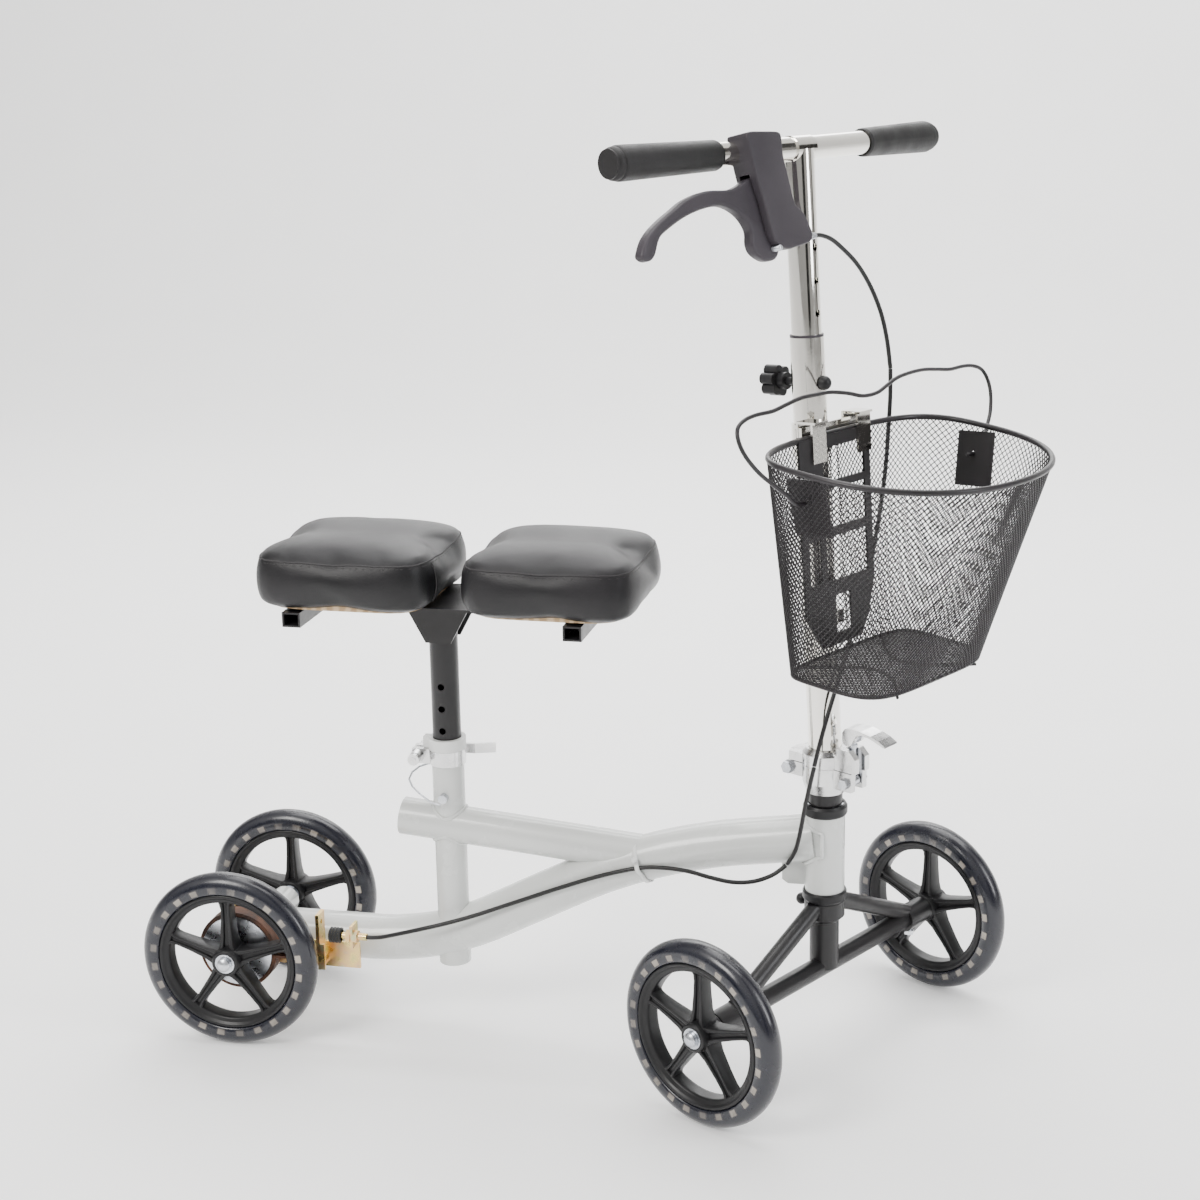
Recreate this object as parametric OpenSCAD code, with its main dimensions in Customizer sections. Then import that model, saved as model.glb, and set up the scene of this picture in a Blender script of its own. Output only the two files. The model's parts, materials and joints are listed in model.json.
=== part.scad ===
// Four-wheeled knee scooter: a welded tube frame, a height-adjustable kneeling seat in two pads,
// a steered front axle, a folding handlebar column with a wire basket, and a cable-pulled rear band brake.
// X points forward, Y to the rider's left, Z up. The floor is Z = 0.

/* [Wheels] */
// Outside diameter of each wheel
wheel_d = 200; // [180:1:210]
// Width of the tyre
tyre_w = 28; // [24:1:32]
// Distance between the middles of the two rear wheels
rear_track = 188; // [180:1:220]
// Distance between the middles of the two front wheels
front_track = 408; // [380:1:440]
// Distance from the rear axle to the steering axis
wheelbase = 645; // [635:1:655]

/* [Frame] */
// Outside diameter of the main tube
main_tube_d = 51; // [46:0.5:54]
// Outside diameter of the upper tube
top_tube_d = 41.5; // [38:0.5:44]
// Outside diameter of the seat tube
seat_tube_d = 35.4; // [35:0.1:36]
// Outside diameter of the head tube
head_tube_d = 43; // [41:0.5:46]
// Height of the middle of the axles
axle_h = 100; // [95:1:105]

/* [Seat] */
// Height of the top of the seat plate
seat_h = 498; // [440:1:540]
// Length of the rear pad
rear_pad_l = 204; // [180:1:210]
// Length of the front pad
front_pad_l = 198; // [180:1:205]
// Width of both pads
pad_w = 190; // [150:1:210]
// Thickness of both pads
pad_t = 70; // [50:1:80]

/* [Steering] */
// Angle that the bars are turned to the right
steer_angle = 29.3; // [0:0.1:40]
// Angle that the column leans back
column_lean = 3.65; // [0:0.05:6]
// Height of the handlebar above the column's hinge, along the column
bar_h = 638; // [600:1:672]
// Width over the grips
bar_w = 517; // [480:1:560]

/* [Basket] */
// Width of the basket's rim
basket_w = 312; // [280:1:320]
// Depth of the basket's rim, front to back
basket_d = 229; // [200:1:240]
// Height of the basket at its back
basket_h = 233; // [200:1:240]

/* [Hidden] */
$fn = 64;
e = 0.05;
fit = 0.05;      // radial clearance of a part that turns or slides in another
gap = 0.3;       // clearance between parts that move past each other
wall = 2;        // wall of the welded tubes

// The floor point below the middle of the scooter as it stands, measured from the rear axle
origin_x = 384;
origin_y = 14;

// Main tube: straight, up a curve, straight, down a curve, straight to the head tube
main_z = 93;
main_x0 = 6;
bend1_x = 130;
bend1_r = 310;
bend1_a = 27.5;
rise_l = 103;
bend2_r = 600;
bend2_a = 7.7;
bend_lap = 6;
bend_step = 0.3;
bend1_end = [bend1_x + bend1_r * sin(bend1_a), main_z + bend1_r * (1 - cos(bend1_a))];
rise_end = bend1_end + rise_l * [cos(bend1_a), sin(bend1_a)];
bend2_c = rise_end + bend2_r * [sin(bend1_a), -cos(bend1_a)];
bend2_end = bend2_c + bend2_r * [-sin(bend2_a), cos(bend2_a)];
front_l = (wheelbase - bend2_end[0]) / cos(bend2_a);

// Other frame tubes
top_x0 = 172;
top_z0 = 242;
top_a = -5.5;
top_l = 280;
seat_x = 226;
seat_tube_z0 = 72;
seat_tube_z1 = 336;
seat_bore_d = 31.1;
post_d = 31;
pin_z = 273;
head_z0 = 190;
head_z1 = 277;
head_bore_d = 38;
axle_tube_d = 32;
axle_tube_hw = 49;
clamp_z = 308;
clamp_h = 17;
clamp_eye_y = 22;

// Steering head
cup_d = 48;
cup_h = 12;
steerer_d = 28.6;
steerer_bore_d = 24;
bearing_h = 8;

// Wheel
rim_r = 78;
rim_inner_r = 68;
hub_r = 15;
hub_hw = 17;
axle_d = 8;
bearing_d = 22;
bearing_w = 7;

// Brake
drum_r = 40;
drum_y0 = -77;
drum_y1 = -57;
arm_x = 92;
arm_z = 86;
arm_y = -62;

// Fork
beam_d = 22;
sleeve_d = 29;
sleeve_y = 148;
sleeve_end = 186;
diagonal_d = 19;
centre_d = 32;

// Column hinge, in the steered frame: x forward from the steering axis
hinge_z = 340;
pivot_x = -36;
pivot_z = 326;
split_z = 334;
lower_z0 = 303;
swing_x = 36;
swing_z = 322;
swing_top = 358;
cam_z = 369.5;

// Column, along its own axis from the hinge
column_d = 35.6;
column_bore_d = 32.4;
column_l = 449;
stem_d = 31.6;
stem_bore_d = 28;
stem_z0 = 300;
knob_z = 402;
hole_zs = [473, 506, 540];
bar_d = 25;
bar_bore_d = 21;
bar_sweep = 4.5;
bar_sleeve_hw = 15;
grip_l = 140;

// Brake lever, in the plane of the lever
lever_tilt = 9.7;
lever_pivot = [-80, -96];

// Basket, in the column's frame
basket_x = 27;
basket_floor_z = 121;
basket_rim_z = basket_floor_z + basket_h;
basket_floor_w = 216;
basket_floor_d = 123;
rim_drop = 8.5;
floor_drop = 7;
basket_wall = 3;
back_frame_x = basket_x + basket_wall + 1.5;
handle_pivot = [104, 159, 312];
handle_lean = 20;

// Seat
rear_pad_x = 37;
front_pad_x = 262;
pad_r = 45;
board_t = 8;
plate_t = 3;
plate_l = 346;
plate_w = 100;

// Brake cable: middles of its route. Upper and fold parts are in the column's frame,
// the steer part is in the steered frame, and the frame part is measured from the rear axle.
cable_d = 5;
cable_upper = [
    [29.8, -18, 552.8], [30, -8, 552.4], [31, 8, 547], [31, 26, 536], [31, 45, 522], [30, 62, 506],
    [29, 78, 486], [28, 92, 462], [26, 103, 434], [24, 110, 403]
];
cable_fold = [
    [24, 110, 402], [21, 112, 372], [18, 111, 340], [17, 105, 300], [17, 94, 260], [18, 78, 220],
    [19, 58, 180], [20, 36, 144], [22, 14, 112], [23, -6, 82], [22, -22, 54], [18, -32, 26],
    [14, -38, 2.6]
];
cable_steer = [
    [13.8, -38.2, 342], [10, -42, 318], [5, -43, 294], [-1, -42, 268], [-9, -40, 244], [-22, -37, 224]
];
cable_frame = [
    [606, -22.3, 222.4], [592, -27, 212], [572, -31, 205], [550, -32, 203], [526, -31, 206],
    [500, -29.5, 211], [472, -28.6, 212.5], [445, -28.4, 210], [403, -28.4, 198], [358, -28.4, 181],
    [320, -28.6, 165.5], [289, -29.5, 153], [258, -31.5, 141], [228, -35, 131.5], [200, -41, 125],
    [178, -50, 122], [163, -59, 121.3], [152, -62, 121], [146, -62, 121]
];

// ---------------------------------------------------------------- frames and helpers

module from_axle() {
    translate([-origin_x, -origin_y, 0]) children();
}

module steered() {
    from_axle() translate([wheelbase, 0, 0]) rotate([0, 0, -steer_angle]) children();
}

module column() {
    steered() translate([0, 0, hinge_z]) rotate([0, -column_lean, 0]) children();
}

// Plane of the brake lever: x is the thickness, y and z lie in the plane, from the bar's middle
module lever_plane() {
    column() translate([0, 0, bar_h]) rotate([0, -lever_tilt, 0]) children();
}

module pipe(d, bore, l) {
    difference() {
        cylinder(d = d, h = l);
        translate([0, 0, -1]) cylinder(d = bore, h = l + 2);
    }
}

module along_y(y0, y1) {
    translate([0, y0, 0]) rotate([-90, 0, 0]) linear_extrude(y1 - y0) children();
}

module rod_y(d, y0, y1) {
    translate([0, y0, 0]) rotate([-90, 0, 0]) cylinder(d = d, h = y1 - y0);
}

module rod_x(d, x0, x1) {
    translate([x0, 0, 0]) rotate([0, 90, 0]) cylinder(d = d, h = x1 - x0);
}

// A round bar between two points
module rod(a, b, d) {
    v = b - a;
    l = norm(v);
    translate(a) rotate([0, acos(v[2] / l), atan2(v[1], v[0])]) cylinder(d = d, h = l);
}

module hexagon(across, h) {
    cylinder(d = across / cos(30), h = h, $fn = 6);
}

module rounded(l, w, r) {
    square([l - 2 * r, w], center = true);
    square([l, w - 2 * r], center = true);
    for (sx = [-1, 1], sy = [-1, 1])
        translate([sx * (l / 2 - r), sy * (w / 2 - r)]) circle(r);
}

// A tube swept along points, with flat ends square to the path; the path never runs along the normal
function unit(v) = v / norm(v);
function tangent(p, i) = unit(p[min(i + 1, len(p) - 1)] - p[max(i - 1, 0)]);
module swept(points, d, normal, sides = 8) {
    rings = [
        for (i = [0:len(points) - 1])
            let (t = tangent(points, i), u = unit(cross(t, normal)), v = cross(t, u))
            for (k = [0:sides - 1]) points[i] + d / 2 * (cos(360 * k / sides) * u + sin(360 * k / sides) * v)
    ];
    last = (len(points) - 1) * sides;
    walls = [
        for (i = [0:len(points) - 2], k = [0:sides - 1])
            let (a = i * sides + k, b = i * sides + (k + 1) % sides)
            each [[a, b + sides, b], [a, a + sides, b + sides]]
    ];
    caps = [[for (k = [0:sides - 1]) k], [for (k = [sides - 1:-1:0]) last + k]];
    polyhedron(rings, concat(walls, caps));
}

// ---------------------------------------------------------------- main frame

// The straights are a hair wider than the bends and run a little way over them
module main_tube_path(d, back, front) {
    translate([back, 0, main_z]) rotate([0, 90, 0]) cylinder(d = d, h = bend1_x - back + bend_lap);
    translate([bend1_x, 0, main_z + bend1_r]) rotate([90, 0, 0]) rotate([0, 0, -90])
        rotate_extrude(angle = bend1_a, $fn = 128) translate([bend1_r, 0]) circle(d = d - bend_step);
    translate([bend1_end[0], 0, bend1_end[1]]) rotate([0, 90 - bend1_a, 0])
        translate([0, 0, -bend_lap]) cylinder(d = d, h = rise_l + 2 * bend_lap);
    translate([bend2_c[0], 0, bend2_c[1]]) rotate([90, 0, 0]) rotate([0, 0, 90 + bend2_a])
        rotate_extrude(angle = bend1_a - bend2_a, $fn = 128)
            translate([bend2_r, 0]) circle(d = d - bend_step);
    translate([bend2_end[0], 0, bend2_end[1]]) rotate([0, 90 - bend2_a, 0])
        translate([0, 0, -bend_lap]) cylinder(d = d, h = front_l - front + bend_lap);
}

module head_tube_place() {
    translate([wheelbase, 0, head_z0]) children();
}

module main_tube() {
    color("white") from_axle() difference() {
        main_tube_path(main_tube_d, main_x0, 10);
        main_tube_path(main_tube_d - 2 * wall, main_x0 + 24, 36);
        translate([0, 0, axle_h]) rod_y(axle_tube_d, -60, 60);
        translate([seat_x, 0, 0]) cylinder(d = seat_tube_d, h = 400);
        head_tube_place() translate([0, 0, -20]) cylinder(d = head_tube_d, h = 120);
    }
}

module top_tube_path(d, back, front) {
    translate([top_x0, 0, top_z0]) rotate([0, 90 - top_a, 0])
        translate([0, 0, back]) cylinder(d = d, h = front - back);
}

module top_tube() {
    color("white") from_axle() difference() {
        top_tube_path(top_tube_d, 0, top_l);
        top_tube_path(top_tube_d - 2 * wall, 3, top_l + 1);
        main_tube_path(main_tube_d, main_x0, 10);
        translate([seat_x, 0, 0]) cylinder(d = seat_tube_d, h = 400);
    }
}

module seat_tube() {
    color("white") from_axle() translate([seat_x, 0, seat_tube_z0]) difference() {
        pipe(seat_tube_d, seat_bore_d, seat_tube_z1 - seat_tube_z0);
        translate([-seat_tube_d, -1, clamp_z - seat_tube_z0 - 20]) cube([seat_tube_d, 2, 60]);
        translate([0, 0, pin_z - seat_tube_z0]) rod_y(7 + 2 * fit, -30, 0);
    }
}

module head_tube() {
    color("white") from_axle() {
        head_tube_place() pipe(head_tube_d, head_bore_d, head_z1 - head_z0);
        difference() {
            translate([wheelbase - 46, -4.5, head_z0 + 4]) cube([40, 9, 34]);
            translate([wheelbase - 60, -10, head_z0 - 6]) rotate([0, 35, 0]) cube([30, 20, 20]);
            head_tube_place() translate([0, 0, -5]) cylinder(d = head_tube_d, h = 60);
            main_tube_path(main_tube_d, main_x0, 10);
        }
    }
}

module rear_axle_tube() {
    color("white") from_axle() translate([0, 0, axle_h]) difference() {
        rod_y(axle_tube_d, -axle_tube_hw, axle_tube_hw + 16);
        rod_y(26, -axle_tube_hw + 8, axle_tube_hw + 8);
        rod_y(axle_d, -axle_tube_hw - 1, axle_tube_hw + 17);
    }
}

module seat_collar() {
    color("white") from_axle() translate([seat_x, 0, clamp_z + clamp_h]) difference() {
        union() {
            cylinder(d = 41, h = 13);
            translate([-26, -5, 0]) cube([20, 10, 13]);
        }
        translate([0, 0, -1]) cylinder(d = seat_tube_d, h = seat_tube_z1 - clamp_z - clamp_h + 1);
        cylinder(d = post_d + 2 * gap, h = 20);
        translate([-30, -1, -1]) cube([30, 2, 20]);
    }
}

module seat_clamp() {
    color("silver") from_axle() translate([seat_x, 0, clamp_z]) {
        difference() {
            union() {
                cylinder(d = seat_tube_d + 5, h = clamp_h - gap);
                translate([-38, -9, 0]) cube([24, 18, clamp_h - gap]);
            }
            translate([0, 0, -1]) cylinder(d = seat_tube_d, h = clamp_h + 2);
            translate([-40, -2, -1]) cube([30, 4, clamp_h + 2]);
            translate([-32, 0, clamp_h / 2]) rod_y(6, -12, 12);
        }
        translate([-32, 0, clamp_h / 2]) {
            rod_y(6, -24, 18);
            translate([0, -19, 0]) rotate([90, 0, 0]) cylinder(d = 13, h = 4.5);
            translate([0, -9, 0]) rotate([90, 0, 0]) cylinder(d1 = 16, d2 = 14, h = 9.5);
            rod_y(15, 9, 14.5);
            translate([0, clamp_eye_y, 0]) difference() {
                cylinder(d = 9, h = 6, center = true);
                cylinder(d = 4, h = 8, center = true);
            }
        }
    }
}

module seat_clamp_lever() {
    color("silver") from_axle() translate([seat_x - 32, clamp_eye_y, clamp_z + clamp_h / 2]) {
        cylinder(d = 4 - 2 * fit, h = 11, center = true);
        difference() {
            union() {
                cylinder(d = 13, h = 11, center = true);
                linear_extrude(11, center = true) polygon([
                    [0, -6], [14, -2], [32, 1], [56, 1], [78, 8], [76.5, 11], [55, 4.5], [32, 5], [0, 6]
                ]);
            }
            translate([-20, -20, -3 - gap / 2]) cube([27, 40, 6 + gap]);
        }
    }
}

module hitch_pin() {
    color("silver") from_axle() translate([seat_x, 0, pin_z]) {
        rod_y(7, -23, -post_d / 2 - 0.1);
        rod_y(10, -25, -seat_tube_d / 2 - 0.5);
        swept([
            [0, -23, 0], [-4, -23, -7], [-14, -22, -5], [-27, -18, 2], [-38, -12, 8], [-44, -5, 14],
            [-43, 4, 19], [-37, 12, 23], [-29, 17, 25], [-24, 19, 25]
        ], 2.4, [0.3, -0.5, 1]);
    }
}

// ---------------------------------------------------------------- steering head

module headset_cups() {
    color("black") from_axle() translate([wheelbase, 0, 0]) for (top = [0, 1])
        translate([0, 0, top == 1 ? head_z1 : head_z0]) mirror([0, 0, top == 1 ? 0 : 1]) difference() {
            union() {
                cylinder(d1 = cup_d - 2, d2 = cup_d, h = 2);
                translate([0, 0, 2]) cylinder(d = cup_d, h = cup_h - 5);
                translate([0, 0, cup_h - 3]) cylinder(d1 = cup_d, d2 = cup_d - 4, h = 3);
                translate([0, 0, -12]) cylinder(d = head_bore_d, h = 12);
            }
            translate([0, 0, -13]) cylinder(d = 31, h = 30);
            translate([0, 0, 2]) cylinder(d = 40, h = cup_h);
        }
}

module headset_bearings() {
    color("silver") from_axle() translate([wheelbase, 0, 0]) for (z = [head_z1 + 2, head_z0 - 2 - bearing_h])
        translate([0, 0, z]) pipe(40, steerer_d + 2 * fit, bearing_h);
}

module steerer() {
    color("black") steered() difference() {
        union() {
            translate([0, 0, axle_h]) cylinder(d = centre_d, h = 66);
            translate([0, 0, 160]) cylinder(d = 44, h = 17.5);
            translate([0, 0, 154]) cylinder(d1 = centre_d, d2 = 44, h = 6);
            translate([0, 0, 170]) cylinder(d = steerer_d, h = 150);
            translate([0, 0, head_z1 + cup_h + gap]) cylinder(d = 37, h = lower_z0 - head_z1 - cup_h - gap);
            translate([-31, 0, 169]) sphere(d = 13);
        }
        translate([0, 0, 120]) cylinder(d = steerer_bore_d, h = 260);
        translate([0, 0, axle_h]) rod_y(beam_d, -40, 40);
    }
}

// ---------------------------------------------------------------- front axle

module fork_diagonals() {
    color("black") steered() difference() {
        for (s = [-1, 1])
            rod([0, s * 4, 178], [0, s * 152, 108], diagonal_d);
        translate([0, 0, 90]) cylinder(d = centre_d, h = 66);
        translate([0, 0, 154]) cylinder(d1 = centre_d, d2 = 44, h = 6);
        translate([0, 0, 160]) cylinder(d = 44, h = 60);
        translate([0, 0, head_z0 - cup_h - gap]) cylinder(d = 60, h = 20);
        translate([0, 0, axle_h]) rod_y(beam_d, -200, 200);
        for (s = [-1, 1])
            translate([0, s * (sleeve_y + 20), axle_h]) rod_y(sleeve_d, -20, 20);
    }
}

module fork_beam() {
    color("black") steered() translate([0, 0, axle_h]) difference() {
        union() {
            rod_y(beam_d, -sleeve_end, sleeve_end);
            for (s = [0, 1])
                mirror([0, s, 0]) rod_y(sleeve_d, sleeve_y, sleeve_end);
        }
        rod_y(beam_d - 5, -sleeve_y, sleeve_y);
        rod_y(axle_d, -sleeve_end - 1, sleeve_end + 1);
        for (s = [-1, 1])
            translate([0, s * 162, -20]) cylinder(d = 6, h = 20);
    }
}

module axle_bolt(inner, outer) {
    rod_y(axle_d, inner, outer + 3);
    translate([0, outer, 0]) rotate([-90, 0, 0]) intersection() {
        cylinder(d = 15, h = 6);
        translate([0, 0, -5]) sphere(d = 21);
    }
    translate([0, outer - 1.5, 0]) rod_y(17, 0, 1.5);
}

module front_axle_bolts() {
    color("silver") steered() {
        translate([0, 0, axle_h]) for (s = [0, 1])
            mirror([0, s, 0]) axle_bolt(150, front_track / 2 + hub_hw + gap + 1.5);
        for (s = [-1, 1])
            translate([0, s * 162, axle_h]) {
                translate([0, 0, -18]) cylinder(d = 6, h = 18 - axle_d / 2);
                translate([0, 0, -22]) hexagon(10, 4.5);
            }
    }
}

module wheel_bearing_pair(y) {
    for (s = [-1, 1])
        translate([0, y + s * (hub_hw - bearing_w / 2), 0]) difference() {
            rod_y(bearing_d - 2 * fit, -bearing_w / 2, bearing_w / 2);
            rod_y(axle_d, -bearing_w, bearing_w);
        }
}

module front_wheel_bearings() {
    color("gray") steered() translate([0, 0, axle_h]) for (s = [-1, 1])
        wheel_bearing_pair(s * front_track / 2);
}

module rear_wheel_bearings() {
    color("gray") from_axle() translate([0, 0, axle_h]) for (s = [-1, 1])
        wheel_bearing_pair(s * rear_track / 2);
}

module rear_axle_bolts() {
    color("silver") from_axle() translate([0, 0, axle_h]) {
        axle_bolt(20, rear_track / 2 + hub_hw + gap + 1.5);
        mirror([0, 1, 0]) axle_bolt(20, rear_track / 2 + hub_hw + gap + 1.5);
        difference() {
            union() {
                rod_y(26, axle_tube_hw + 16, axle_tube_hw + 19);
                translate([0, axle_tube_hw + 19, 0]) rotate([-90, 0, 0]) hexagon(17, 7.5);
            }
            rod_y(axle_d, 0, 100);
        }
    }
}

// ---------------------------------------------------------------- wheels

module tyre() {
    side_h = wheel_d / 2 - tyre_w / 2;
    rotate([90, 0, 0]) rotate_extrude($fn = 128) difference() {
        union() {
            translate([side_h, 0]) circle(d = tyre_w);
            translate([rim_r, -tyre_w / 2]) square([side_h - rim_r, tyre_w]);
        }
        translate([0, -tyre_w]) square([rim_r, 2 * tyre_w]);
    }
}

module rim() {
    rotate([90, 0, 0]) difference() {
        union() {
            rotate_extrude($fn = 128) {
                translate([rim_inner_r, -11]) square([rim_r - rim_inner_r, 22]);
                translate([rim_inner_r - 2, -2]) square([4, 4]);
            }
            translate([0, 0, -hub_hw]) cylinder(r = hub_r, h = 2 * hub_hw);
            for (k = [0:4])
                rotate([0, 0, 90 + 72 * k]) {
                    translate([0, 0, -9]) linear_extrude(18) polygon([
                        [hub_r - 3, -8], [rim_inner_r + 1, -5], [rim_inner_r + 1, 5], [hub_r - 3, 8]
                    ]);
                }
        }
        for (s = [-1, 1])
            translate([0, 0, s * (hub_hw - bearing_w / 2)])
                cylinder(d = bearing_d, h = bearing_w + 2 * e, center = true);
        cylinder(d = 13, h = 60, center = true);
    }
}

module rear_wheel_place(s) {
    from_axle() translate([0, s * rear_track / 2, axle_h]) children();
}

module front_wheel_place(s) {
    steered() translate([0, s * front_track / 2, axle_h]) children();
}

module rear_right_tyre() {
    color("midnightblue") rear_wheel_place(-1) tyre();
}

module rear_right_rim() {
    color("black") rear_wheel_place(-1) rim();
}

module rear_left_tyre() {
    color("midnightblue") rear_wheel_place(1) tyre();
}

module rear_left_rim() {
    color("black") rear_wheel_place(1) rim();
}

module front_right_tyre() {
    color("midnightblue") front_wheel_place(-1) tyre();
}

module front_right_rim() {
    color("black") front_wheel_place(-1) rim();
}

module front_left_tyre() {
    color("midnightblue") front_wheel_place(1) tyre();
}

module front_left_rim() {
    color("black") front_wheel_place(1) rim();
}

// ---------------------------------------------------------------- rear band brake

module brake_drum() {
    color("silver") from_axle() translate([0, 0, axle_h]) difference() {
        rod_y(2 * drum_r, drum_y0, drum_y1);
        rod_y(2 * drum_r - 6, drum_y0 + 4, drum_y1 + 1);
        rod_y(26, -100, 0);
    }
}

module brake_band() {
    color("black") from_axle() translate([0, 0, axle_h]) difference() {
        union() {
            rod_y(2 * drum_r + 9, drum_y0 + 2, drum_y1);
            translate([38, drum_y0 + 2, 3]) cube([34, drum_y1 - drum_y0 - 2, 3]);
            translate([38, drum_y0 + 2, -6]) cube([34, drum_y1 - drum_y0 - 2, 3]);
        }
        rod_y(2 * drum_r + 2 * gap, -100, 0);
        translate([30, -100, -3]) cube([50, 80, 6]);
    }
}

module brake_plate() {
    color("goldenrod") from_axle() translate([0, 0, axle_h]) difference() {
        union() {
            rod_y(2 * drum_r + 8, axle_tube_hw * -1 - 3, -axle_tube_hw);
            translate([0, -axle_tube_hw - 3, -22]) cube([arm_x + 14, 3, 30]);
            translate([arm_x + 11, -axle_tube_hw - 3, -22]) cube([30, 3, 30]);
            translate([arm_x + 36, -axle_tube_hw - 18, 8]) cube([3, 18, 26]);
            translate([arm_x + 36, -axle_tube_hw - 3, 6]) cube([3, 3, 10]);
            translate([40, -axle_tube_hw - 26, -6]) cube([30, 24, 0.1 + 3]);
        }
        rod_y(axle_d, -100, 0);
        translate([arm_x + 30, arm_y, 21]) rod_x(8, 0, 20);
        translate([38, -axle_tube_hw - 30, -7]) cube([35, 27, 4.5]);
    }
}

module brake_arm() {
    color("goldenrod") from_axle() translate([arm_x, 0, arm_z]) difference() {
        union() {
            rod_y(9, arm_y - 8, -axle_tube_hw - 3 - gap);
            translate([-2, arm_y - 8, -4]) cube([4, 18, 64]);
            translate([-2, arm_y - 8, -4]) cube([9, 3, 30]);
        }
        translate([-5, arm_y, 50]) rod_x(5, 0, 12);
    }
}

module cable_adjuster() {
    color("goldenrod") from_axle() translate([0, arm_y, axle_h + 21]) {
        difference() {
            union() {
                rod_x(7.9, arm_x + 24, arm_x + 54);
                translate([arm_x + 39, 0, 0]) rotate([0, 90, 0]) hexagon(13, 5);
                translate([arm_x + 31, 0, 0]) rotate([0, 90, 0]) hexagon(13, 5);
            }
            translate([0, 0, -e]) rod_x(2, 0, 200);
        }
        difference() {
            union() for (k = [0:3])
                translate([arm_x + 11.5 + 3.5 * k, 0, 0]) rotate([0, 90, 0]) rotate_extrude()
                    polygon([[3, 0], [6, 0], [8, 1.75], [6, 3.5], [3, 3.5]]);
            rod_x(2, 0, 200);
        }
    }
}

// ---------------------------------------------------------------- seat

module seat_post() {
    color("black") from_axle() translate([seat_x, 0, 0]) difference() {
        translate([0, 0, 225]) pipe(post_d, post_d - 4, seat_h - plate_t - 225);
        for (k = [0:5])
            translate([0, 0, 399 - 25.2 * k]) rod_y(7.5, -30, 0);
    }
}

module seat_plate() {
    color("dimgray") from_axle() {
        translate([76, -plate_w / 2, seat_h - plate_t]) cube([plate_l, plate_w, plate_t]);
        for (s = [-1, 1])
            translate([seat_x, s * 17.2, 0]) along_y(-1.5, 1.5)
                polygon([[-38, -seat_h + plate_t], [-14, -450], [14, -450], [38, -seat_h + plate_t]]);
    }
}

module seat_cross_tubes() {
    color("black") from_axle() for (x = [86, 391])
        translate([x - 10, -80, seat_h - plate_t - 16]) difference() {
            cube([20, 160, 16]);
            translate([2, -1, 2]) cube([16, 162, 12]);
        }
}

module pad_boards() {
    color("tan") from_axle() {
        translate([rear_pad_x + rear_pad_l / 2, 0, seat_h]) linear_extrude(board_t)
            rounded(rear_pad_l - 12, pad_w - 12, pad_r - 6);
        translate([front_pad_x + front_pad_l / 2, 0, seat_h]) linear_extrude(board_t)
            rounded(front_pad_l - 12, pad_w - 12, pad_r - 6);
    }
}

module pad(l) {
    difference() {
        linear_extrude(pad_t) rounded(l, pad_w, pad_r);
        translate([0, 0, -1]) linear_extrude(board_t + 1) rounded(l - 12, pad_w - 12, pad_r - 6);
    }
}

module rear_pad() {
    color("black") from_axle() translate([rear_pad_x + rear_pad_l / 2, 0, seat_h]) pad(rear_pad_l);
}

module front_pad() {
    color("black") from_axle() translate([front_pad_x + front_pad_l / 2, 0, seat_h]) pad(front_pad_l);
}

// ---------------------------------------------------------------- column hinge

module hinge_lower_block() {
    color("silver") steered() difference() {
        union() {
            translate([0, 0, lower_z0]) cylinder(d1 = 42, d2 = 50, h = 12);
            translate([0, 0, lower_z0 + 12]) cylinder(d = 50, h = split_z - lower_z0 - 12 - gap);
            translate([pivot_x, -18, lower_z0 + 15.4]) cube([30, 36, split_z - lower_z0 - 15.4 - gap]);
            translate([pivot_x, 0, pivot_z]) rod_y(15.2, -18, 18);
            translate([0, -14, lower_z0 + 10]) cube([44, 28, split_z - lower_z0 - 10 - gap]);
        }
        translate([0, 0, lower_z0 - 1]) cylinder(d = steerer_d, h = 18);
        translate([pivot_x - 20, -8 - gap, lower_z0]) cube([31, 16 + 2 * gap, 40]);
        translate([swing_x - 9, -6 - gap, lower_z0]) cube([30, 12 + 2 * gap, 40]);
        translate([pivot_x, 0, pivot_z]) rod_y(8, -30, 30);
        translate([swing_x, 0, swing_z]) rod_y(6, -30, 30);
    }
}

module hinge_pins() {
    color("silver") steered() {
        translate([pivot_x, 0, pivot_z]) {
            rod_y(8, -18, 18);
            for (s = [0, 1])
                mirror([0, s, 0]) translate([0, 18, 0]) rotate([-90, 0, 0]) hexagon(12, 5);
        }
        translate([swing_x, 0, swing_z]) {
            rod_y(6, -14, 14);
            for (s = [0, 1])
                mirror([0, s, 0]) translate([0, 14, 0]) rotate([-90, 0, 0]) hexagon(10, 4.5);
        }
    }
}

module hinge_upper_block() {
    color("silver") difference() {
        steered() difference() {
            union() {
                translate([0, 0, split_z]) cylinder(d = 50, h = 13);
                translate([0, 0, split_z + 13]) cylinder(d1 = 50, d2 = 42, h = 5);
                translate([0, -13, split_z]) cube([swing_x + 12, 26, 16]);
                along_y(-13, 13) polygon([
                    [swing_x - 12, -split_z], [swing_x - 12, -swing_top], [swing_x + 4, -swing_top],
                    [swing_x + 12, -split_z - 16], [swing_x + 12, -split_z]
                ]);
                translate([pivot_x, -18, split_z + 0.6]) cube([30, 36, 10]);
                translate([pivot_x - 4, -8, pivot_z]) cube([14, 16, 18]);
                translate([pivot_x, 0, pivot_z]) rod_y(14, -8, 8);
            }
            translate([swing_x - 6, -5, split_z - 1]) cube([60, 10, 60]);
            translate([pivot_x, 0, pivot_z]) rod_y(8 + 2 * fit, -10, 10);
        }
        column() translate([0, 0, -2]) cylinder(d = column_d, h = 80);
    }
}

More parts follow.
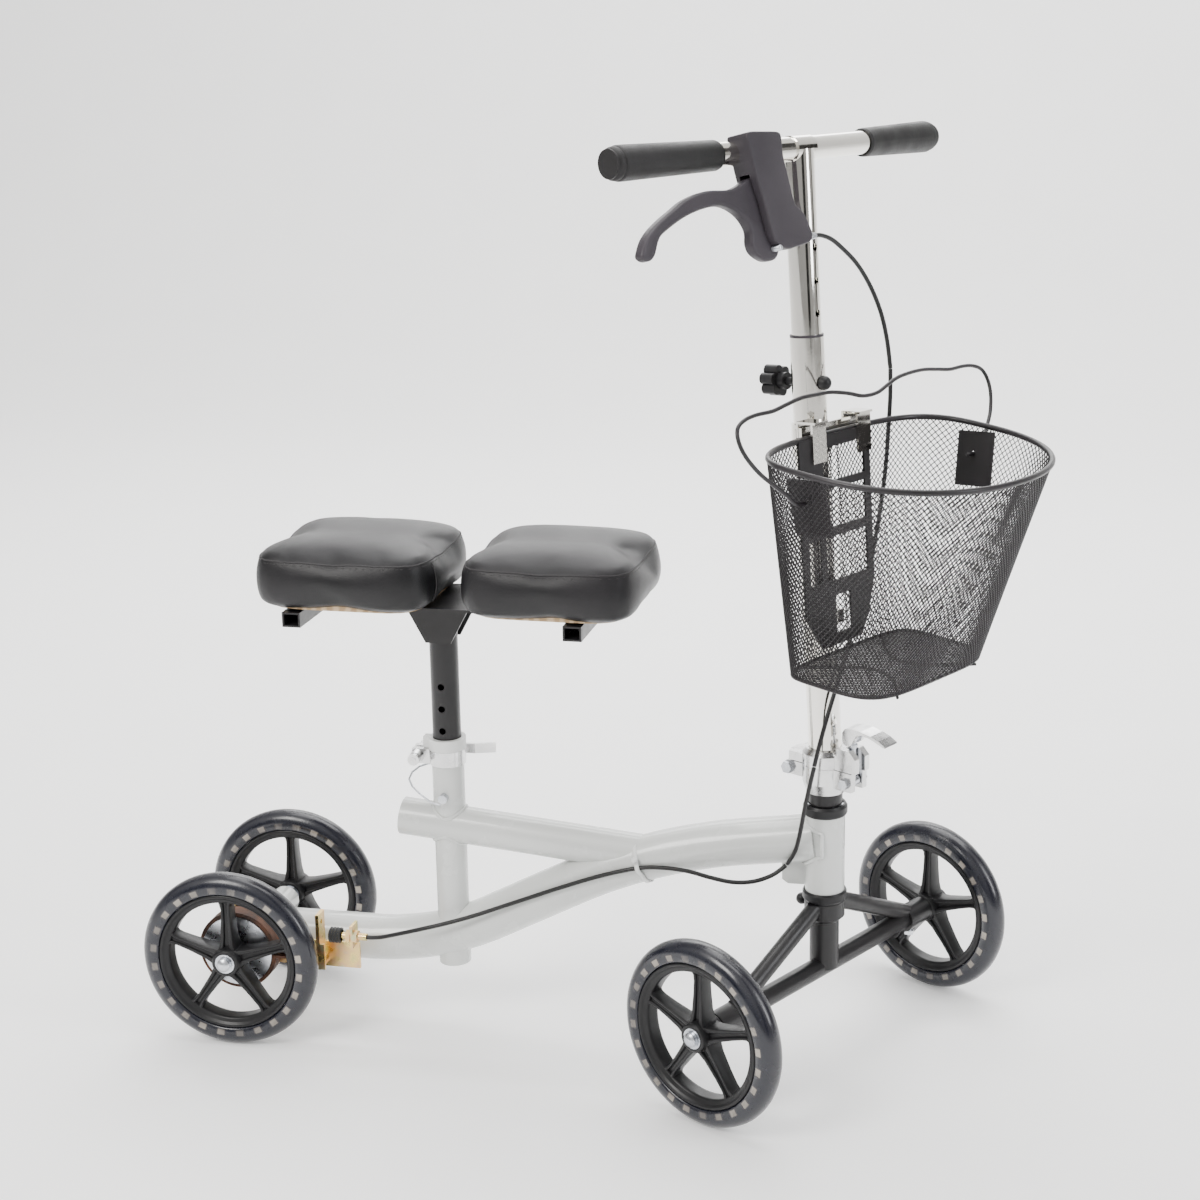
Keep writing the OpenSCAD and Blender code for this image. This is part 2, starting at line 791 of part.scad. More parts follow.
module swing_bolt() {
    color("gray") steered() translate([swing_x, 0, 0]) difference() {
        union() {
            translate([0, 0, swing_z]) rod_y(12, -5, 5);
            translate([0, 0, swing_z]) cylinder(d = 7, h = cam_z - swing_z);
            translate([0, 0, swing_top + 1.6]) cylinder(d = 9.8, h = 3);
            translate([0, 0, cam_z]) rod_y(10, -5, 5);
        }
        translate([0, 0, swing_z]) rod_y(6 + 2 * fit, -10, 10);
        translate([0, 0, cam_z]) rod_y(5, -10, 10);
    }
}

module latch_lever() {
    slot = 5 + gap;
    color("silver") steered() translate([swing_x, 0, cam_z]) {
        rod_y(5 - 2 * fit, -11, 11);
        difference() {
            union() {
                rod_y(13, -11, 11);
                along_y(-11, 11) mirror([0, 1]) polygon([
                    [-6.5, -3], [-6.5, 7], [-3, 12], [6, 13.8], [17, 13.2], [30, 11], [40, 7.8], [48, 3.6],
                    [48.5, 1.8], [46, 1.8], [38, 5], [28, 8], [18, 9.4], [12, 8], [9, 3], [6, -3]
                ]);
            }
            translate([-30, -slot, -30]) cube([40, 2 * slot, 38]);
        }
    }
}

// ---------------------------------------------------------------- column and stem

module column_tube() {
    color("gainsboro") column() difference() {
        translate([0, 0, -2]) pipe(column_d, column_bore_d, column_l + 2);
        translate([0, 0, knob_z]) rod_x(8 + 2 * fit, -30, 0);
        translate([0, 0, knob_z]) rod_x(8, 0, 30);
    }
}

module column_bushing() {
    color("dimgray") column() translate([0, 0, column_l]) difference() {
        union() {
            cylinder(d = column_d - 0.6, h = 2.5);
            translate([0, 0, -24]) cylinder(d = column_bore_d, h = 25);
        }
        translate([0, 0, -30]) cylinder(d = stem_d + 2 * fit, h = 40);
    }
}

module height_cap() {
    color("black") column() translate([0, 0, knob_z]) {
        rod_x(8, stem_d / 2 + 0.1, 19);
        translate([17.8, 0, 0]) rotate([0, 90, 0]) cylinder(d = 15, h = 2.2);
        translate([20, 0, 0]) rotate([0, 90, 0]) rotate_extrude() intersection() {
            circle(7.5);
            square(10);
        }
    }
}

module height_knob() {
    color("black") column() translate([0, 0, knob_z]) {
        rod_x(8, -30, -stem_d / 2 - 0.1);
        translate([-52, 0, 0]) rotate([0, 90, 0]) linear_extrude(16) {
            circle(11);
            for (k = [0:5])
                rotate(60 * k + 15) translate([11, 0]) circle(6);
        }
        rod_x(18, -37, -28);
    }
}

module stem_tube() {
    color("gainsboro") column() difference() {
        translate([0, 0, stem_z0]) pipe(stem_d, stem_bore_d, bar_h - stem_z0);
        for (z = hole_zs)
            translate([0, 0, z]) rod_x(7.5, -30, 30);
        translate([0, 0, bar_h]) bar_solid();
    }
}

module bar_half(s, d, start) {
    mirror([0, s, 0]) rotate([0, 0, bar_sweep]) rod_y(d, start, bar_w / 2 - 4);
}

// The bar's outside: two swept-back halves joined in a short sleeve over the stem
module bar_solid() {
    for (s = [0, 1])
        bar_half(s, bar_d, -0.5);
    rod_y(bar_d + 1.6, -bar_sleeve_hw, bar_sleeve_hw);
}

module handlebar() {
    color("gainsboro") column() translate([0, 0, bar_h]) difference() {
        bar_solid();
        for (s = [0, 1])
            bar_half(s, bar_bore_d, bar_sleeve_hw - 4);
    }
}

module grip() {
    rotate([-90, 0, 0]) rotate_extrude() difference() {
        union() {
            polygon([
                [0, 0], [14, 0], [15, 3], [15, 5], [17, grip_l - 18], [17, grip_l - 12], [0, grip_l - 12]
            ]);
            translate([0, grip_l - 14]) square([14, 14]);
            translate([12, grip_l - 12]) circle(5);
            translate([9, grip_l - 7]) circle(7);
        }
        translate([0, -1]) square([bar_d / 2, grip_l - 3]);
        translate([-20, -1]) square([20, grip_l + 10]);
    }
}

module grips() {
    color("black") column() translate([0, 0, bar_h]) for (s = [0, 1])
        mirror([0, s, 0]) rotate([0, 0, bar_sweep]) translate([0, bar_w / 2 - grip_l, 0]) grip();
}

// ---------------------------------------------------------------- brake lever

module housing_outline() {
    polygon([
        [-99, 14], [-94, 18], [-52, 16], [-47, 12], [-49, -9], [-46, -38], [-44, -55], [-34, -64], [-27, -78],
        [-25, -90], [-40, -96], [-67, -98], [-83, -90], [-88, -74], [-91, -50], [-96, -26]
    ]);
}

module lever_outline() {
    polygon([
        [-91, -25], [-130, -34], [-161, -33], [-190, -38], [-213, -47], [-236, -57], [-254, -68],
        [-264, -80], [-266, -87], [-258, -91], [-249, -87], [-240, -74], [-230, -67], [-197, -55],
        [-165, -49], [-140, -49], [-119, -59], [-108, -74], [-110, -88], [-106, -98], [-92, -106],
        [-78, -106], [-70, -98], [-72, -84]
    ]);
}

// An outline drawn in the lever's plane, thickened along x
module in_lever_plane(x0, x1) {
    translate([x0, 0, 0]) rotate([90, 0, 90]) linear_extrude(x1 - x0) children();
}

module brake_housing() {
    color("dimgray") {
        difference() {
            lever_plane() difference() {
                union() {
                    in_lever_plane(-8, 19) housing_outline();
                    translate([0, lever_pivot[0], lever_pivot[1]]) rod_x(20, -8, 19);
                }
                in_lever_plane(-2 - gap, 10 + gap)
                    polygon([[-140, -22], [-60, -22], [-58, -110], [-140, -120]]);
                translate([0, lever_pivot[0], lever_pivot[1]]) rod_x(6, -20, 30);
            }
            column() translate([0, 0, bar_h]) bar_solid();
        }
        lever_plane() translate([0, lever_pivot[0], lever_pivot[1]]) rod_x(6, -9, 20);
        lever_plane() translate([15, 0, -89]) rod_y(8, -32, -18);
    }
}

module brake_lever() {
    color("dimgray") lever_plane() difference() {
        union() {
            in_lever_plane(-2, 10) lever_outline();
            translate([0, -259, -85]) rod_x(13, -3, 11);
        }
        translate([0, lever_pivot[0], lever_pivot[1]]) rod_x(6 + 2 * fit, -20, 30);
    }
}

// ---------------------------------------------------------------- basket

// Superellipse outline of the basket: squarer at the back than at the front
function basket_point(a, half_w, depth, front_n, back_n, x0) =
    let (
        c = cos(a), s = sin(a), n = c >= 0 ? front_n : back_n, mid = 0.4 * depth,
        reach = c >= 0 ? depth - mid : mid
    )
    [x0 + mid + sign(c) * reach * pow(abs(c), 2 / n), sign(s) * half_w * pow(abs(s), 2 / n)];

function basket_ring(inset, lift, rim, turns) = [
    for (k = [0:turns - 1])
        let (
            half_w = (rim ? basket_w : basket_floor_w) / 2 - inset,
            depth = (rim ? basket_d : basket_floor_d) - 2 * inset,
            front_n = rim ? 2.2 : 4.4,
            back_n = rim ? 3.5 : 5,
            p = basket_point(360 * k / turns, half_w, depth, front_n, back_n, basket_x + inset),
            z = (rim ? basket_rim_z : basket_floor_z) - (p[0] - basket_x) * tan(rim ? rim_drop : floor_drop)
        )
        [p[0], p[1], z + lift]
];

module basket() {
    turns = 56;
    rings = concat(
        basket_ring(0, 0, false, turns), basket_ring(0, 0, true, turns),
        basket_ring(basket_wall, 0, true, turns), basket_ring(basket_wall, basket_wall, false, turns)
    );
    walls = [
        for (i = [0:2], k = [0:turns - 1])
            let (a = i * turns + k, b = i * turns + (k + 1) % turns)
            each [[a, b + turns, b], [a, a + turns, b + turns]]
    ];
    caps = [[for (k = [0:turns - 1]) k], [for (k = [turns - 1:-1:0]) 3 * turns + k]];
    color("black") column() difference() {
        polyhedron(rings, concat(walls, caps));
        translate([handle_pivot[0], 0, handle_pivot[2]]) rod_y(8, -200, 200);
    }
}

// Flat steel frame that stiffens the basket's back, and the plates that carry its handle
module basket_frame() {
    color("black") column() {
        translate([back_frame_x, 0, 0]) rotate([90, 0, 90]) linear_extrude(2.5) difference() {
            polygon([
                [-64, 352], [54, 352], [54, 190], [40, 150], [28, 132], [-38, 132], [-52, 150], [-64, 172]
            ]);
            translate([-26, 304]) square([70, 36]);
            translate([-26, 256]) square([70, 40]);
            translate([-26, 200]) square([70, 46]);
            translate([-54, 200]) square([20, 46]);
            translate([-14, 144]) square([26, 40]);
        }
        for (s = [0, 1])
            mirror([0, s, 0]) difference() {
                handle_plate();
                translate([handle_pivot[0], 0, handle_pivot[2]]) rod_y(5, 100, 200);
            }
    }
}

module handle_plate() {
    translate([84, 135, 278]) rotate([-11.7, 0, 0]) cube([44, 2.5, 58]);
}

module basket_hooks() {
    color("silver") column() for (y = [-44, 32]) {
        translate([15.5, y, 366]) cube([24, 22, 2.5]);
        translate([15.5, y, 352]) cube([2.2, 22, 15]);
        translate([back_frame_x + 2.5 + e, y, 326]) cube([2.5, 22, 42]);
    }
}

module basket_bracket() {
    color("silver") column() difference() {
        union() {
            translate([0, 0, 330]) cylinder(d = column_d + 5, h = 30);
            translate([12, -44, 334]) cube([3, 98, 26]);
            translate([18.3, -44, 340]) cube([4, 98, 22]);
            translate([12, -8, 334]) cube([9, 16, 26]);
            translate([0, 0, 150]) cylinder(d = column_d + 4, h = 14);
            translate([12, -10, 150]) cube([13, 20, 14]);
        }
        translate([0, 0, 100]) cylinder(d = column_d, h = 300);
    }
}

module basket_handle() {
    lean_s = sin(handle_lean);
    lean_c = cos(handle_lean);
    arch = [
        [166, -4], [170, 12], [184, 25], [197, 38], [208, 56], [211, 72], [206, 84], [192, 90], [174, 92],
        [150, 92], [128, 95], [104, 98], [78, 98], [56, 96], [36, 91], [16, 86], [-8, 86], [-30, 92],
        [-56, 97], [-80, 98], [-104, 98], [-128, 95], [-150, 92], [-174, 92], [-192, 90], [-206, 84],
        [-211, 72], [-208, 56], [-197, 38], [-184, 25], [-170, 12], [-166, -4]
    ];
    color("black") column() translate([handle_pivot[0], 0, handle_pivot[2]]) {
        swept([for (p = arch) [-p[1] * lean_s, p[0], p[1] * lean_c]], 4, [lean_c, 0, lean_s]);
        for (s = [0, 1])
            mirror([0, s, 0]) rod_y(4.9, 131, 167);
    }
}

// ---------------------------------------------------------------- brake cable

module brake_cable_upper() {
    color("black") column() swept(cable_upper, cable_d, [1, 0, 0]);
}

module brake_cable_fold() {
    color("black") column() swept(cable_fold, cable_d, [1, 0, 0]);
}

module brake_cable_steer() {
    color("black") steered() swept(cable_steer, cable_d, [0, 1, 0]);
}

module brake_cable_frame() {
    color("black") from_axle() swept(cable_frame, cable_d, [0, 1, 0]);
}

main_tube();
top_tube();
seat_tube();
head_tube();
rear_axle_tube();
seat_collar();
seat_clamp();
seat_clamp_lever();
headset_cups();
headset_bearings();
rear_axle_bolts();
rear_wheel_bearings();
brake_plate();
brake_band();
brake_arm();
cable_adjuster();
brake_cable_frame();
hitch_pin();
seat_post();
seat_plate();
seat_cross_tubes();
pad_boards();
rear_pad();
front_pad();
steerer();
fork_diagonals();
fork_beam();
front_axle_bolts();
front_wheel_bearings();
hinge_lower_block();
hinge_pins();
brake_cable_steer();
swing_bolt();
latch_lever();
hinge_upper_block();
column_tube();
column_bushing();
basket_bracket();
height_cap();
brake_cable_fold();
height_knob();
stem_tube();
handlebar();
grips();
brake_housing();
brake_cable_upper();
brake_lever();
brake_drum();
rear_right_tyre();
rear_right_rim();
rear_left_tyre();
rear_left_rim();
front_right_tyre();
front_right_rim();
front_left_tyre();
front_left_rim();
basket();
basket_frame();
basket_hooks();
basket_handle();
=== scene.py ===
import json
import math

import bmesh
import bpy
import numpy as np
from mathutils import Matrix, Vector
from mathutils.bvhtree import BVHTree


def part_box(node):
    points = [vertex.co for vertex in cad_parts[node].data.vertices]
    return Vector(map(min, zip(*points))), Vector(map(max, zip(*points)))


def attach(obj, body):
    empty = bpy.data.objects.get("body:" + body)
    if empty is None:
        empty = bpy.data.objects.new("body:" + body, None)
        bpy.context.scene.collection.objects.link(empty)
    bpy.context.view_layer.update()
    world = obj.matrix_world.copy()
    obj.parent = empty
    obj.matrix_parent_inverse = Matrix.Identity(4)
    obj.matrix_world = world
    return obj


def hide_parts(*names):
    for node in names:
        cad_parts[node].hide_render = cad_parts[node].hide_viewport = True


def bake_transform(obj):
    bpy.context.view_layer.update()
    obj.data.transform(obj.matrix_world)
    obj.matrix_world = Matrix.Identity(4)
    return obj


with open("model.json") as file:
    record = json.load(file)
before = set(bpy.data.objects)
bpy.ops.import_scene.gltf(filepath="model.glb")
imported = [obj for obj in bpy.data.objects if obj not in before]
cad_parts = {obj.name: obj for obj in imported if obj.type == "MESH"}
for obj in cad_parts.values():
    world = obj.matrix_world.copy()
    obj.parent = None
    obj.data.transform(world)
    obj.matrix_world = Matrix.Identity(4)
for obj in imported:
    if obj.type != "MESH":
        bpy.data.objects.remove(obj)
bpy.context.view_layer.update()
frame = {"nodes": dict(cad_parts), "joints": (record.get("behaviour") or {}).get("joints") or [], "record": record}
NODES = frame["nodes"]
JOINTS = {j["name"]: j for j in frame["joints"]}
MM = 0.001

# ---------------------------------------------------------------- places, from the frame's own joints

HINGE_Z = 0.340          # height at which the column's axis meets the steering axis
BAR_H = 0.638            # height of the bar's middle along the column
LEVER_TILT = 9.7         # lean of the brake lever's plane, in degrees
UP = Vector((0, 0, 1))


def basis(x, y, z, origin):
    m = Matrix((x, y, z)).transposed().to_4x4()
    m.translation = origin
    return m


steer_pos = Vector(JOINTS["steering"]["pos_m"])
across = Vector(JOINTS["front_left_roll"]["axis"]).normalized()
column_axis = Vector(JOINTS["handlebar_height"]["axis"]).normalized()
rear_right = Vector(JOINTS["rear_right_roll"]["pos_m"])
rear_left = Vector(JOINTS["rear_left_roll"]["pos_m"])
AXLE = Matrix.Translation(((rear_left.x + rear_right.x) / 2, (rear_left.y + rear_right.y) / 2, 0))
STEERED = basis(across.cross(UP), across, UP, Vector((steer_pos.x, steer_pos.y, 0)))
COLUMN = basis(across.cross(column_axis), across, column_axis, Vector((steer_pos.x, steer_pos.y, HINGE_Z)))
LEVER = COLUMN @ Matrix.Translation((0, 0, BAR_H)) @ Matrix.Rotation(math.radians(-LEVER_TILT), 4, "Y")


def placed(points, place):
    """Points in millimetres in a place's own axes, as row-frame vectors in metres."""
    return [place @ (Vector(p) * MM) for p in points]


# ---------------------------------------------------------------- camera, light and floor

CAMERA_AT = (0.5497, -2.1241, 1.1254)
CAMERA_TURN = 9.70
CAMERA_DOWN = 14.24
CAMERA_LENS = 63.6
SENSOR_W = 36
CAMERA_SHIFT = (-0.1325, -0.0555)
FLOOR_HALF = 9.0
FLOOR_GLOW = 0.2         # a little light of its own, so that the floor and the wall stay pale
DARK_BELOW = 0.1         # base colours under this are dark plastics, rubber and paint
DARK_GLOSS = 0.3
WALL_Y = 3.2
WALL_BEND = 1.6
WALL_H = 6.0
ROOM = ((0.0, 0.34), (0.46, 0.34), (0.56, 0.5), (0.72, 1.0), (1.0, 1.25))
FLAGS = ((-52, 9), (-128, 6), (172, 9), (24, 10))    # direction and half width of each, in degrees
FLAG_SOFT = 5
FLAG_DEPTH = 0.93


def make_camera():
    turn, down = math.radians(CAMERA_TURN), math.radians(CAMERA_DOWN)
    look = Vector((-math.sin(turn) * math.cos(down), math.cos(turn) * math.cos(down), -math.sin(down)))
    data = bpy.data.cameras.new("camera")
    data.lens = CAMERA_LENS
    data.sensor_width = SENSOR_W
    data.shift_x, data.shift_y = CAMERA_SHIFT
    camera = bpy.data.objects.new("camera", data)
    camera.location = CAMERA_AT
    camera.rotation_euler = look.to_track_quat("-Z", "Y").to_euler()
    bpy.context.scene.collection.objects.link(camera)
    bpy.context.scene.camera = camera


def area_light(name, at, target, size, power, colour=(1, 1, 1)):
    data = bpy.data.lights.new(name, "AREA")
    data.shape = "RECTANGLE"
    data.size, data.size_y = size
    data.energy = power
    data.color = colour
    light = bpy.data.objects.new(name, data)
    light.location = at
    light.rotation_euler = (Vector(target) - Vector(at)).to_track_quat("-Z", "Y").to_euler()
    bpy.context.scene.collection.objects.link(light)


def make_world():
    """A soft room: bright above, dim at eye level, with a few dark flags for the chrome to show."""
    world = bpy.data.worlds.new("studio")
    bpy.context.scene.world = world
    world.use_nodes = True
    tree = world.node_tree
    coord = tree.nodes.new("ShaderNodeTexCoord")
    split = tree.nodes.new("ShaderNodeSeparateXYZ")
    tree.links.new(coord.outputs["Generated"], split.inputs[0])
    ramp = tree.nodes.new("ShaderNodeValToRGB")
    fill_ramp(ramp, [(at, (v, v * 0.985, v * 0.96)) for at, v in ROOM])
    tree.links.new(ranged(tree, split.outputs["Z"], 0, 1, -1, 1), ramp.inputs[0])
    turn = maths(tree, "ARCTAN2", split.outputs["Y"], split.outputs["X"])
    keep = None
    for middle, half in FLAGS:
        flag = band(tree, turn, math.radians(middle), math.radians(half), math.radians(FLAG_SOFT))
        open_part = maths(tree, "SUBTRACT", 1, maths(tree, "MULTIPLY", flag, FLAG_DEPTH))
        keep = open_part if keep is None else maths(tree, "MULTIPLY", keep, open_part)
    mix = tree.nodes.new("ShaderNodeVectorMath")
    mix.operation = "SCALE"
    tree.links.new(ramp.outputs[0], mix.inputs[0])
    tree.links.new(keep, mix.inputs["Scale"])
    tree.links.new(mix.outputs[0], tree.nodes["Background"].inputs["Color"])


def make_studio():
    middle = (0, 0, 0.45)
    area_light("key", (-1.5, -2.3, 2.7), middle, (1.5, 1.2), 95, (1.0, 0.98, 0.95))
    area_light("overhead", (0.1, 0.4, 3.2), middle, (2.6, 2.2), 95)
    area_light("side", (2.8, -0.7, 1.6), middle, (0.7, 1.8), 34, (0.95, 0.97, 1.0))
    area_light("back", (-0.6, 2.6, 2.3), middle, (2.4, 0.9), 38)
    area_light("wall", (0, 1.5, 3.4), (0, 5, 1.2), (4.0, 1.0), 190)
    make_world()
    bend = np.linspace(0, math.pi / 2, 13)
    section = [(-FLOOR_HALF, 0)]
    section += [(WALL_Y + WALL_BEND * math.sin(a), WALL_BEND * (1 - math.cos(a))) for a in bend]
    section.append((WALL_Y + WALL_BEND, WALL_H))
    verts = [(x, y, z) for y, z in section for x in (-FLOOR_HALF, FLOOR_HALF)]
    faces = [(2 * i, 2 * i + 1, 2 * i + 3, 2 * i + 2) for i in range(len(section) - 1)]
    mesh = bpy.data.meshes.new("floor")
    mesh.from_pydata(verts, [], faces)
    mesh.shade_smooth()
    floor = bpy.data.objects.new("floor", mesh)
    bpy.context.scene.collection.objects.link(floor)
    white = surface("floor_white", (0.93, 0.93, 0.93), (0.91, 0.91, 0.91), (0.6, 0.7), 0, 40, 0.02)
    glow = next(n for n in white.node_tree.nodes if n.type == "BSDF_PRINCIPLED")
    glow.inputs["Emission Color"].default_value = (1, 1, 1, 1)
    glow.inputs["Emission Strength"].default_value = FLOOR_GLOW
    floor.data.materials.append(white)


# ---------------------------------------------------------------- materials

def fill_ramp(ramp, stops):
    elements = ramp.color_ramp.elements
    while len(elements) < len(stops):
        elements.new(0.5)
    for element, (at, colour) in zip(elements, stops):
        element.position = at
        element.color = (*colour, 1)


def noise(tree, coord, scale, detail=4.0, stretch=(1, 1, 1)):
    scaled = tree.nodes.new("ShaderNodeMapping")
    scaled.inputs["Scale"].default_value = stretch
    texture = tree.nodes.new("ShaderNodeTexNoise")
    texture.inputs["Scale"].default_value = scale
    texture.inputs["Detail"].default_value = detail
    tree.links.new(coord.outputs["Object"], scaled.inputs["Vector"])
    tree.links.new(scaled.outputs[0], texture.inputs["Vector"])
    return texture


def add_bump(tree, shader, height, strength, distance, below=None):
    bump = tree.nodes.new("ShaderNodeBump")
    bump.inputs["Strength"].default_value = strength
    bump.inputs["Distance"].default_value = distance
    tree.links.new(height, bump.inputs["Height"])
    if below:
        tree.links.new(below.outputs[0], bump.inputs["Normal"])
    tree.links.new(bump.outputs[0], shader.inputs["Normal"])
    return bump


def ranged(tree, value, low, high, from_low=0.3, from_high=0.7):
    node = tree.nodes.new("ShaderNodeMapRange")
    node.inputs["From Min"].default_value = from_low
    node.inputs["From Max"].default_value = from_high
    node.inputs["To Min"].default_value = low
    node.inputs["To Max"].default_value = high
    tree.links.new(value, node.inputs["Value"])
    return node.outputs[0]


def blank(name):
    material = bpy.data.materials.new(name)
    material.use_nodes = True
    tree = material.node_tree
    return material, tree, tree.nodes["Principled BSDF"], tree.nodes.new("ShaderNodeTexCoord")


def surface(
        name, light, dark, rough, metallic, grain, bump, coat=0.0, patch=7.0, stretch=(1, 1, 1)):
    """A finish with drifting colour and gloss and a fine grain: paint, plastic, rubber or metal."""
    material, tree, shader, coord = blank(name)
    broad = noise(tree, coord, patch, 5)
    ramp = tree.nodes.new("ShaderNodeValToRGB")
    fill_ramp(ramp, [(0.36, dark), (0.64, light)])
    tree.links.new(broad.outputs["Fac"], ramp.inputs[0])
    tree.links.new(ramp.outputs[0], shader.inputs["Base Color"])
    scuffs = noise(tree, coord, patch * 5, 8, stretch)
    tree.links.new(ranged(tree, scuffs.outputs["Fac"], *rough), shader.inputs["Roughness"])
    fine = noise(tree, coord, grain, 3, stretch)
    add_bump(tree, shader, fine.outputs["Fac"], bump, 0.0006)
    shader.inputs["Metallic"].default_value = metallic
    if not metallic and light[0] < DARK_BELOW:
        shader.inputs["Specular IOR Level"].default_value = DARK_GLOSS
    shader.inputs["Coat Weight"].default_value = coat
    shader.inputs["Coat Roughness"].default_value = 0.08
    return material


def leatherette(name):
    """Black vinyl: pebbled cells, soft creases and a slow drift of gloss."""
    material, tree, shader, coord = blank(name)
    broad = noise(tree, coord, 9, 4)
    ramp = tree.nodes.new("ShaderNodeValToRGB")
    fill_ramp(ramp, [(0.35, (0.006, 0.006, 0.007)), (0.65, (0.012, 0.011, 0.013))])
    tree.links.new(broad.outputs["Fac"], ramp.inputs[0])
    tree.links.new(ramp.outputs[0], shader.inputs["Base Color"])
    cells = tree.nodes.new("ShaderNodeTexVoronoi")
    cells.feature = "DISTANCE_TO_EDGE"
    cells.inputs["Scale"].default_value = 620
    tree.links.new(coord.outputs["Object"], cells.inputs["Vector"])
    tree.links.new(ranged(tree, broad.outputs["Fac"], 0.36, 0.5), shader.inputs["Roughness"])
    creases = noise(tree, coord, 34, 3, (1, 0.45, 1))
    low = add_bump(tree, shader, creases.outputs["Fac"], 0.16, 0.002)
    add_bump(tree, shader, ranged(tree, cells.outputs["Distance"], 0, 1, 0, 0.25), 0.22, 0.0004, low)
    shader.inputs["Specular IOR Level"].default_value = DARK_GLOSS
    shader.inputs["Coat Weight"].default_value = 0.05
    shader.inputs["Coat Roughness"].default_value = 0.3
    return material


def yellow_zinc(name):
    """Chromated zinc: gold that drifts to pink and green."""
    material, tree, shader, coord = blank(name)
    drift = noise(tree, coord, 55, 3)
    ramp = tree.nodes.new("ShaderNodeValToRGB")
    fill_ramp(ramp, [
        (0.3, (0.55, 0.50, 0.20)), (0.45, (0.78, 0.58, 0.22)),
        (0.58, (0.74, 0.48, 0.26)), (0.7, (0.56, 0.56, 0.34))])
    tree.links.new(drift.outputs["Fac"], ramp.inputs[0])
    tree.links.new(ramp.outputs[0], shader.inputs["Base Color"])
    tree.links.new(ranged(tree, drift.outputs["Fac"], 0.2, 0.4), shader.inputs["Roughness"])
    add_bump(tree, shader, noise(tree, coord, 900, 2).outputs["Fac"], 0.08, 0.0005)
    shader.inputs["Metallic"].default_value = 1.0
    return material


def wheel_angle(tree, coord):
    """Polar coordinates about a wheel's own axle: radius, and turn from -pi to pi."""
    split = tree.nodes.new("ShaderNodeSeparateXYZ")
    tree.links.new(coord.outputs["Object"], split.inputs[0])
    turn = maths(tree, "ARCTAN2", split.outputs["Z"], split.outputs["X"])
    squares = [maths(tree, "MULTIPLY", split.outputs[a], split.outputs[a]) for a in "XZ"]
    return maths(tree, "SQRT", maths(tree, "ADD", *squares)), turn


def maths(tree, operation, a, b=None):
    node = tree.nodes.new("ShaderNodeMath")
    node.operation = operation
    for socket, value in zip(node.inputs, (a, b)):
        if isinstance(value, (int, float)):
            socket.default_value = value
        elif value is not None:
            tree.links.new(value, socket)
    return node.outputs[0]


def band(tree, value, middle, half, soft):
    """1 within half of middle, falling to 0 over soft."""
    away = maths(tree, "ABSOLUTE", maths(tree, "SUBTRACT", value, middle))
    return ranged(tree, away, 1, 0, half - soft / 2, half + soft / 2)


WINDOWS = 24             # pale blocks seen through the tyre
WINDOW_R = 0.0842


def tyre_rubber(name):
    """Smoky blue-black polyurethane over a dark core, with pale blocks showing through its sides."""
    material, tree, shader, coord = blank(name)
    radius, turn = wheel_angle(tree, coord)
    share = maths(tree, "FRACT", maths(tree, "MULTIPLY", turn, WINDOWS / math.tau))
    pale = maths(
        tree, "MULTIPLY", band(tree, share, 0.5, 0.21, 0.1), band(tree, radius, WINDOW_R, 0.0036, 0.0016))
    murk = noise(tree, coord, 16, 4)
    pale = maths(tree, "MULTIPLY", pale, ranged(tree, murk.outputs["Fac"], 0.45, 1.0))
    ramp = tree.nodes.new("ShaderNodeValToRGB")
    fill_ramp(ramp, [(0.0, (0.006, 0.007, 0.014)), (0.5, (0.06, 0.055, 0.055)), (1.0, (0.36, 0.32, 0.27))])
    glow = maths(tree, "ADD", pale, ranged(tree, radius, 0.0, 0.08, 0.092, 0.1))
    tree.links.new(glow, ramp.inputs[0])
    tree.links.new(ramp.outputs[0], shader.inputs["Base Color"])
    scuffs = noise(tree, coord, 60, 6)
    tree.links.new(ranged(tree, scuffs.outputs["Fac"], 0.16, 0.34), shader.inputs["Roughness"])
    add_bump(tree, shader, noise(tree, coord, 240, 3).outputs["Fac"], 0.06, 0.0006)
    shader.inputs["Coat Weight"].default_value = 0.15
    shader.inputs["Coat Roughness"].default_value = 0.15
    return material


def plywood(name):
    material, tree, shader, coord = blank(name)
    wave = tree.nodes.new("ShaderNodeTexWave")
    wave.inputs["Scale"].default_value = 26
    wave.inputs["Distortion"].default_value = 5
    wave.inputs["Detail"].default_value = 3
    tree.links.new(coord.outputs["Object"], wave.inputs["Vector"])
    ramp = tree.nodes.new("ShaderNodeValToRGB")
    fill_ramp(ramp, [(0.2, (0.42, 0.28, 0.15)), (0.8, (0.62, 0.46, 0.28))])
    tree.links.new(wave.outputs["Fac"], ramp.inputs[0])
    tree.links.new(ramp.outputs[0], shader.inputs["Base Color"])
    add_bump(tree, shader, wave.outputs["Fac"], 0.15, 0.0005)
    shader.inputs["Roughness"].default_value = 0.65
    return material


